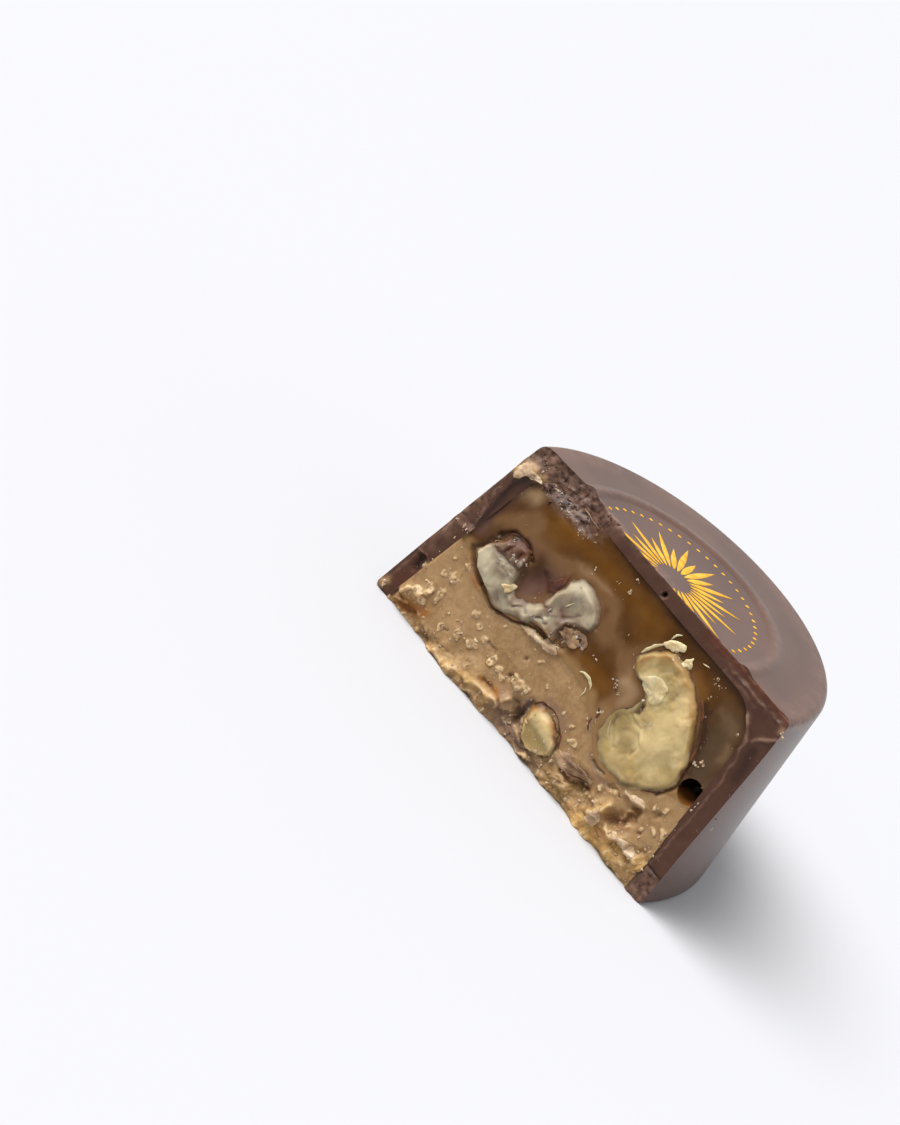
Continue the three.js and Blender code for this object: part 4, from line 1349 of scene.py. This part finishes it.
def crumb_tree():
    """Turns points with a size into crumbs: flattened balls, each knocked out of shape in its own way."""
    tree = bpy.data.node_groups.new("crumbs", "GeometryNodeTree")
    for name, kind, value in (
        ("Points", "Geometry", None),
        ("Fineness", "Int", 2),
        ("Unevenness", "Float", 1.5),
        ("Grain", "Float", 6500.0),
        ("Seed", "Int", 1),
        ("Finish", "Material", None),
    ):
        socket = tree.interface.new_socket(name, in_out="INPUT", socket_type="NodeSocket" + kind)
        if value is not None:
            socket.default_value = value
    tree.interface.new_socket("Crumbs", in_out="OUTPUT", socket_type="NodeSocketGeometry")
    points, fineness, unevenness, grain, seed, finish = list(tree.nodes.new("NodeGroupInput").outputs)[:6]
    ball = add(tree, "GeometryNodeMeshIcoSphere", {"Radius": 0.5, "Subdivisions": fineness}).outputs[0]
    size = add(tree, "GeometryNodeInputNamedAttribute", {"Name": "size"}, data_type="FLOAT").outputs[0]
    shapes = {0: (0.8, 0.45, 0.35), 1: (1.3, 0.9, 0.7), "Seed": seed}
    shape = add(tree, "FunctionNodeRandomValue", shapes, data_type="FLOAT_VECTOR").outputs[0]
    scale = add(tree, "ShaderNodeVectorMath", {0: shape, "Scale": size}, operation="SCALE").outputs[0]
    turns = {0: (1.2, 0, -0.4), 1: (2.0, 6.28, 0.4), "Seed": seed}
    turn = add(tree, "FunctionNodeRandomValue", turns, data_type="FLOAT_VECTOR").outputs[0]
    given = {"Points": points, "Instance": ball, "Rotation": turn, "Scale": scale}
    placed = add(tree, "GeometryNodeInstanceOnPoints", given).outputs[0]
    real = add(tree, "GeometryNodeRealizeInstances", {0: placed}).outputs[0]
    noise = add(tree, "ShaderNodeTexNoise", {"Scale": grain, "Detail": 2.0}).outputs["Color"]
    half = (0.5, 0.5, 0.5)
    centred = add(tree, "ShaderNodeVectorMath", {0: noise, 1: half}, operation="SUBTRACT").outputs[0]
    strength = product(tree, size, unevenness)
    push = add(tree, "ShaderNodeVectorMath", {0: centred, "Scale": strength}, operation="SCALE").outputs[0]
    shaped = add(tree, "GeometryNodeSetPosition", {"Geometry": real, "Offset": push}).outputs[0]
    dressed = add(tree, "GeometryNodeSetMaterial", {"Geometry": shaped, "Material": finish}).outputs[0]
    tree.links.new(dressed, tree.nodes.new("NodeGroupOutput").inputs[0])
    return tree


CRUMB_TREE = crumb_tree()
STANDS_OUT = 0.12


def crumb_piece(name, places, finish, fineness, seed):
    """One piece of many crumbs that sit in the cut face. Each place is x, z and size."""
    x, z, size = places.T
    points = np.stack([x, cut_at(x, z) - cut_surface(x, z) - STANDS_OUT * size, z], 1)
    seeds = new_piece(name, points, [])
    add_value(seeds, "size", size * MM)
    step = seeds.modifiers.new("crumbs", "NODES")
    step.node_group = CRUMB_TREE
    given = {"Fineness": fineness, "Seed": seed, "Finish": finish}
    for socket in CRUMB_TREE.interface.items_tree:
        if socket.in_out == "INPUT" and socket.name in given:
            step[socket.identifier] = given[socket.name]
    settle(seeds, step)
    finish_mesh(seeds)
    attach(seeds, "root")


def crumb_finish(name, dark, light, roughness, subsurface):
    """A material that varies between a dark colour and a light one."""
    material, tree, shader = new_finish(name, roughness, subsurface, (0.4, 0.3, 0.15))
    put(tree, shader["Base Color"], tint(tree, colour(dark), patches(tree, 1.3, 3.0, 0.2), colour(light)))
    put(tree, shader["Normal"], uneven(tree, 4.0, 0.03, 3.0))
    return material


def scattered(count, seed, low, high, smallest, largest, keep):
    """Random places between two corners with random sizes, where keep(x, z) is more than a random number."""
    chance = np.random.RandomState(seed)
    x = chance.uniform(low[0], high[0], count)
    z = chance.uniform(low[1], high[1], count)
    size = smallest + (largest - smallest) * chance.uniform(0, 1, count) ** 2.5
    kept = keep(x, z) > chance.uniform(0, 1, count)
    return np.stack([x, z, size], 1)[kept]


def clusters(spots, seed):
    """Each spot's crumbs: the bigger the spot, the more of them, lying close round it."""
    chance = np.random.RandomState(seed)
    places = []
    for x, z, size in spots:
        for _ in range(2 + round(9 * size)):
            right, up = 0.33 * size * chance.normal(0, 1, 2)
            places.append((x + 1.3 * right, z + up, (0.06 + 0.7 * size) * chance.uniform(0.25, 0.85) ** 1.3))
    return np.array(places)


def in_shell_band(x, z):
    """Where the shell's wall or its top shows at the cut."""
    side = side_at(z)
    return ((np.abs(x) > side - WALL) | (z > CEILING)) & (np.abs(x) < side - 0.3)


toffee_crumb = crumb_finish("toffee_crumb", "#aa8966", "#d9c0a0", 0.5, 0.4)
nut_crumb = crumb_finish("nut_crumb", "#8f7565", "#d0bdac", 0.45, 0.4)
chocolate_crumb = crumb_finish("chocolate_crumb", "#3b251d", "#7a5c4d", 0.5, 0.0)
toffee_dust = scattered(900, 5, (-14.0, 0.2), (13.2, 6.6), 0.06, 0.2, lambda x, z: 0.2 + 0.5 * (z < 2.5))
amber_dust = scattered(90, 6, (-12.5, 7.6), (12.3, 14.2), 0.05, 0.13, lambda x, z: np.full_like(x, 0.5))
shell_dust = scattered(800, 7, (-15.4, 0.3), (14.4, 15.6), 0.05, 0.18, lambda x, z: in_shell_band(x, z) * 0.9)
base_dust = scattered(800, 8, (-13.8, 0.22), (13.4, 3.2), 0.08, 0.32, lambda x, z: 0.25 + 0.4 * (x > 3))
crumb_piece("toffee_crumbs", clusters(TOFFEE_CRUMBS, 1), toffee_crumb, 2, 1)
lump_spots = [(x, z, 0.45 * size) for x, z, size in PALE_LUMPS]
crumb_piece("lump_crumbs", clusters(lump_spots, 2), toffee_crumb, 2, 6)
crumb_piece("nut_crumbs", clusters(NUT_CRUMBS, 3), nut_crumb, 2, 2)
crumb_piece("chocolate_crumbs", clusters(CHOCOLATE_CRUMBS, 4), chocolate_crumb, 2, 3)
crumb_piece("toffee_specks", np.concatenate([toffee_dust, amber_dust, base_dust]), toffee_crumb, 1, 4)
crumb_piece("chocolate_specks", shell_dust, chocolate_crumb, 1, 5)

# ---- the slivers ----
# Curled shavings and flakes of nut and toffee, and scraps of brown nut skin, pressed onto the cut.
# A shaving is a thin body along a path, pointed at both ends. A flake is a thin slice with a ragged edge.

# Shavings: path, width and how far they stand out.
PALE_SHAVINGS = [
    ([(0.0, 7.15), (0.45, 7.4), (1.0, 7.4), (1.4, 7.15), (1.6, 6.8)], 0.2, 0.08),
    ([(1.2, 6.85), (1.42, 6.5), (1.4, 6.0)], 0.09, 0.06),
    ([(3.25, 13.4), (3.3, 13.9), (3.6, 14.2)], 0.14, 0.08),
    ([(6.0, 13.95), (6.6, 14.02)], 0.1, 0.06),
    ([(2.35, 11.2), (2.55, 12.0), (3.2, 12.85)], 0.3, 0.08),
    ([(12.72, 7.0), (12.8, 7.85)], 0.14, 0.08),
    ([(4.2, 6.6), (4.9, 5.8), (5.4, 5.5)], 0.08, 0.03),
    ([(-3.9, 9.5), (-3.6, 10.2)], 0.1, 0.05),
]
DULL_SHAVINGS = [
    ([(-8.3, 14.72), (-7.2, 14.64), (-6.2, 14.7)], 0.09, 0.04),
    ([(-2.4, 8.4), (-2.0, 8.8), (-1.4, 8.95), (-0.95, 8.65), (-0.8, 8.2)], 0.35, 0.14),
    ([(4.2, 2.75), (5.2, 2.9), (6.5, 2.85)], 0.12, 0.14),
]
SKIN_SHAVINGS = [
    ([(-12.0, 7.0), (-11.2, 6.5), (-10.0, 6.1), (-9.0, 5.7)], 0.14, 0.08),
    ([(-8.6, 5.5), (-7.4, 5.35), (-6.2, 5.9), (-5.3, 6.5)], 0.16, 0.08),
    ([(-5.2, 6.7), (-4.2, 6.95), (-3.2, 6.95)], 0.12, 0.06),
    ([(-7.0, 9.9), (-6.2, 9.5), (-5.5, 8.9)], 0.12, 0.06),
    ([(-11.2, 9.2), (-10.7, 9.9), (-10.0, 10.15), (-9.0, 10.1)], 0.2, 0.08),
    ([(7.8, 12.4), (8.5, 11.8), (9.0, 11.1)], 0.2, 0.06),
    ([(8.9, 11.2), (9.5, 10.6), (9.95, 9.9)], 0.2, 0.07),
    ([(9.95, 10.0), (10.25, 9.2), (10.45, 8.5)], 0.18, 0.07),
    ([(10.45, 8.5), (10.75, 7.8), (10.95, 7.1)], 0.16, 0.06),
    ([(10.9, 6.9), (10.5, 6.2), (9.9, 5.6), (9.2, 5.0)], 0.12, 0.05),
    ([(-0.8, 3.1), (-0.2, 3.85), (0.7, 4.05), (1.6, 3.85)], 0.16, 0.06),
    ([(1.5, 3.85), (2.4, 3.3), (3.0, 2.5)], 0.14, 0.06),
    ([(3.0, 6.6), (3.3, 6.3), (3.4, 5.9)], 0.16, 0.06),
    ([(3.1, 5.8), (3.3, 5.3), (3.6, 5.0)], 0.18, 0.06),
    ([(2.3, 9.0), (2.7, 8.6), (3.1, 8.1)], 0.12, 0.05),
    ([(4.5, 2.05), (5.4, 2.2), (6.3, 2.5)], 0.12, 0.17),
    ([(3.6, 2.55), (4.6, 2.65), (5.8, 2.7)], 0.08, 0.18),
    ([(-2.5, 7.45), (-2.1, 7.35), (-1.9, 7.5)], 0.14, 0.08),
]
# Flakes: outline and how far they stand out.
PALE_FLAKES = [
    ([(-8.55, 7.15), (-8.2, 7.4), (-7.7, 7.7), (-7.65, 7.1), (-8.1, 6.95)], 0.2),
    ([(3.15, 12.8), (3.25, 13.2), (3.7, 13.6), (4.2, 13.85), (4.6, 13.7), (4.4, 13.25), (3.8, 12.95)], 0.16),
    ([(5.0, 12.95), (5.1, 13.4), (5.35, 13.75), (5.6, 13.4), (5.85, 13.05), (5.4, 12.85)], 0.18),
    ([(3.8, 10.15), (4.2, 10.9), (5.2, 11.1), (5.9, 10.7), (5.85, 9.75), (5.4, 9.4), (4.8, 9.75)], 0.08),
]
DULL_FLAKES = [
    ([
        (3.0, 2.5), (3.6, 2.85), (4.8, 2.9), (6.0, 2.9), (6.4, 2.7), (6.0, 2.3), (5.2, 2.0), (4.4, 1.85),
        (3.6, 2.05),
    ], 0.12),
    ([(-2.2, 7.95), (-2.1, 8.4), (-1.6, 8.6), (-1.2, 8.3), (-1.3, 7.95), (-1.8, 7.75)], 0.1),
    ([(-2.4, 1.3), (-2.2, 2.1), (-1.5, 2.35), (-1.4, 1.5)], 0.14),
    ([(-2.9, 8.0), (-2.8, 8.6), (-2.4, 8.75), (-2.1, 8.3), (-2.35, 7.9)], 0.2),
]
SKIN_FLAKES = [([(-5.3, 11.1), (-5.2, 10.2), (-5.3, 9.4), (-5.9, 9.05), (-6.3, 9.5), (-5.8, 10.2)], 0.06)]
TOFFEE_FLAKES = [
    ([
        (-13.95, 13.0), (-13.9, 13.9), (-13.4, 14.3), (-12.8, 14.1), (-12.1, 14.05), (-11.8, 13.8),
        (-12.4, 13.55), (-12.9, 13.5), (-13.2, 13.05), (-13.6, 12.75),
    ], 0.16),
    ([(-5.5, 6.1), (-4.9, 6.45), (-4.2, 6.7), (-3.6, 6.75), (-3.5, 6.45), (-4.4, 6.2)], 0.1),
    ([(-3.6, 6.5), (-3.2, 6.95), (-2.5, 7.05), (-1.95, 6.75), (-2.1, 6.45), (-2.9, 6.3)], 0.14),
    ([(7.7, 0.95), (7.9, 1.7), (8.1, 2.4), (8.6, 1.9), (8.8, 1.3), (8.3, 0.9)], 0.16),
    ([(10.0, 1.9), (10.9, 2.25), (11.9, 2.2), (12.1, 1.8), (11.0, 1.6)], 0.12),
    ([(8.5, 4.3), (9.2, 4.55), (10.1, 4.75), (10.3, 4.5), (9.5, 4.3)], 0.12),
]


def shaving(path, width, proud):
    """The points and faces of a thin body along a path on the cut, pointed at both ends."""
    p = np.array(path, float)
    run = np.concatenate([[0], np.cumsum(np.hypot(*np.diff(p, axis=0).T))])
    t = np.linspace(0, 1, 16)
    along = t * run[-1]
    x, z = warp(np.interp(along, run, p[:, 0]), np.interp(along, run, p[:, 1]), 0.5, 0.05, 91)
    y = cut_at(x, z) - cut_surface(x, z)
    side = np.stack([np.gradient(z), -np.gradient(x)], 1)
    side /= np.linalg.norm(side, axis=1)[:, None]
    half = width / 2 * np.sin(math.pi * t) ** 0.6 * (1 + 0.4 * bumps(x, z, 0.3, 92))
    turn = np.arange(8) * math.pi / 4
    rings = [np.array([[x[0], y[0], z[0]]])]
    for k in range(1, len(t) - 1):
        across = half[k] * np.cos(turn)
        at, up = x[k] + side[k, 0] * across, z[k] + side[k, 1] * across
        out = proud * (0.4 + 0.6 * np.sin(turn)) * (1 + 0.4 * bumps(at, up, 0.15, 95))
        rings.append(np.stack([at, y[k] - out, up], 1))
    rings.append(np.array([[x[-1], y[-1], z[-1]]]))
    return loft(rings)


def flake(outline, proud):
    """The points and faces of a thin ragged slice that lies on the cut."""
    loop = np.stack(warp(*outline_loop(outline, 0.0, 0.1).T, 0.25, 0.06, 94), 1)
    centre = loop.mean(0)
    top = [(0, 1.0), (0.2, 1.0), (0.4, 1.05), (0.6, 1.05), (0.78, 1.0), (0.9, 0.9), (0.97, 0.7), (1, 0.3)]
    rings = []
    for share, height in [*top, (0.97, -0.3), (0.5, -0.3), (0, -0.3)]:
        flat = centre + (loop - centre) * share if share else centre[None]
        x, z = flat.T
        out = proud * height * (1 + 0.45 * rough(x / 2, z, 0.22, 93, 2))
        rings.append(np.stack([x, cut_at(x, z) - cut_surface(x, z) - out, z], 1))
    return loft(rings)


def gathered(bodies):
    """The points and faces of several bodies as those of one mesh."""
    points, faces, first = [], [], 0
    for body_points, body_faces in bodies:
        points.append(body_points)
        faces += [[first + k for k in face] for face in body_faces]
        first += len(body_points)
    return np.concatenate(points), faces


def sliver_piece(name, shavings, flakes, finish):
    """One piece of many shavings and flakes."""
    bodies = [shaving(*row) for row in shavings] + [flake(*row) for row in flakes]
    piece = face_outwards(new_piece(name, *gathered(bodies)))
    finish_mesh(piece)
    piece.data.materials.append(finish)
    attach(piece, "root")


pale_sliver = crumb_finish("pale_sliver", "#c3aa7c", "#dfcda3", 0.45, 0.5)
dull_sliver = crumb_finish("dull_sliver", "#785940", "#b39370", 0.5, 0.5)
nut_skin = crumb_finish("nut_skin", "#44241a", "#6d4029", 0.45, 0.3)
sliver_piece("pale_slivers", PALE_SHAVINGS, PALE_FLAKES, pale_sliver)
sliver_piece("dull_slivers", DULL_SHAVINGS, DULL_FLAKES, dull_sliver)
sliver_piece("skin_slivers", SKIN_SHAVINGS, SKIN_FLAKES, nut_skin)
sliver_piece("toffee_flakes", [], TOFFEE_FLAKES, toffee_crumb)

# ---- the gold print ----
# A thin layer of gold-coloured cocoa butter on the top face: a rosette of slim petals inside a ring of dots.
# Each petal and dot is a flat body that follows the oval, and the knife cut through those at the front.

PRINT_SUNK = 0.01
PRINT_THICK = 0.03
PETALS = 28
PETAL_FROM = 1.4
PETAL_TO = (5.9, 4.5)
PETAL_HALF = 0.27
DOTS = 52
DOTS_AT = 7.1
DOT_HALF = 0.17


def on_oval(radius, turn):
    """A point on the oval of that radius."""
    stretch = (TOP_HALF_LENGTH - TOP_HALF_WIDTH) * radius / TOP_HALF_WIDTH
    return np.array([radius * math.cos(turn), (radius + stretch) * math.sin(turn)])


def petal(k):
    """The outline of one slim petal, which points away from the middle."""
    turn = 2 * math.pi * (k + 0.5) / PETALS
    inner, outer = on_oval(PETAL_FROM, turn), on_oval(PETAL_TO[k % 2], turn)
    along = (outer - inner) / np.linalg.norm(outer - inner)
    across = np.array([-along[1], along[0]])
    t = (1 - np.cos(np.linspace(0, math.pi, 15))) / 2
    half = PETAL_HALF * np.sin(math.pi * t**0.8)
    line = inner + t[:, None] * (outer - inner)
    return np.concatenate([line + half[:, None] * across, (line - half[:, None] * across)[-2:0:-1]])


def dot(k):
    """The outline of one round dot in the ring."""
    middle = on_oval(DOTS_AT, 2 * math.pi * k / DOTS)
    turn = np.linspace(0, 2 * math.pi, 16, endpoint=False)
    return middle + DOT_HALF * np.stack([np.cos(turn), np.sin(turn)], 1)


def printed(loop):
    """The points and faces of a flat body on the top face inside a loop."""
    centre = loop.mean(0)
    rings = []
    under = [(0, -PRINT_SUNK), (1, -PRINT_SUNK)]
    for share, up in [*under, (1, PRINT_THICK / 2), (0.93, PRINT_THICK), (0, PRINT_THICK)]:
        flat = centre + (loop - centre) * share if share else centre[None]
        rings.append(np.stack([flat[:, 0], flat[:, 1], np.full(len(flat), FACE + up)], 1))
    return loft(rings)


loops = [petal(k) for k in range(PETALS)] + [dot(k) for k in range(DOTS)]
gold_print = face_outwards(new_piece("gold_print", *gathered([printed(loop) for loop in loops])))
carve(gold_print, knife(shell_relief))
finish_mesh(gold_print)
GOLD_DEEP = colour("#cf961b")
GOLD_LIGHT = colour("#e6b236")
gold, tree, shader = new_finish("gold_print", 0.5)
put(tree, shader["Base Color"], tint(tree, GOLD_DEEP, patches(tree, 0.9, 4.0, 0.2), GOLD_LIGHT))
gold_print.data.materials.append(gold)
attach(gold_print, "root")

# ---- the table, the light and the camera ----
# A plain white table in soft studio light from the upper left, seen by a camera turned as in the photograph.

bpy.ops.mesh.primitive_plane_add(size=1.0, location=(0, 0, -0.00002))
table = bpy.context.object
table.name = "table"
table.scale = (4, 4, 1)
white_table, _, shader = new_finish("white_table", 0.9)
shader["Base Color"].default_value = colour("#c6c6c9")
table.data.materials.append(white_table)

KEY_FROM = (-0.54, -0.08, 0.84)
key_data = bpy.data.lights.new("key", "SUN")
key_data.energy = 4.3
key_data.angle = math.radians(46)
key = bpy.data.objects.new("key", key_data)
key.rotation_mode = "QUATERNION"
key.rotation_quaternion = Vector(KEY_FROM).to_track_quat("Z", "Y")
bpy.context.scene.collection.objects.link(key)

SKY_BACK = (0.66, 0.662, 0.675, 1)
SKY_FRONT = (0.33, 0.328, 0.33, 1)
SKY_TOP = (0.55, 0.552, 0.56, 1)
world = bpy.data.worlds.new("studio")
world.use_nodes = True
tree = world.node_tree
direction = add(tree, "ShaderNodeTexCoord").outputs["Generated"]
parts = add(tree, "ShaderNodeSeparateXYZ", {0: direction}).outputs
horizon = tint(tree, SKY_FRONT, between(tree, parts["Y"], -0.6, 0.5), SKY_BACK)
sky = tint(tree, horizon, between(tree, parts["Z"], 0.15, 0.8), SKY_TOP)
put(tree, tree.nodes["Background"].inputs["Color"], sky)
bpy.context.scene.world = world

CAMERA_AT = (27.795, -169.321, 64.649)
CAMERA_RIGHT = (0.68183, 0.38480, 0.62213)
CAMERA_UP = (-0.69714, 0.08416, 0.71198)
CAMERA_BACK = (0.22161, -0.91916, 0.32564)
camera_data = bpy.data.cameras.new("camera")
camera_data.sensor_width = 36.0
camera_data.lens = 80.48
camera_data.clip_start = 0.01
camera_data.clip_end = 10.0
camera = bpy.data.objects.new("camera", camera_data)
turned = Matrix((CAMERA_RIGHT, CAMERA_UP, CAMERA_BACK)).transposed().to_4x4()
camera.matrix_world = Matrix.Translation((Vector(CAMERA_AT) + Vector((0, CENTRE_Y, 0))) * MM) @ turned
bpy.context.scene.collection.objects.link(camera)
bpy.context.scene.camera = camera

bpy.context.scene.view_settings.view_transform = "Standard"
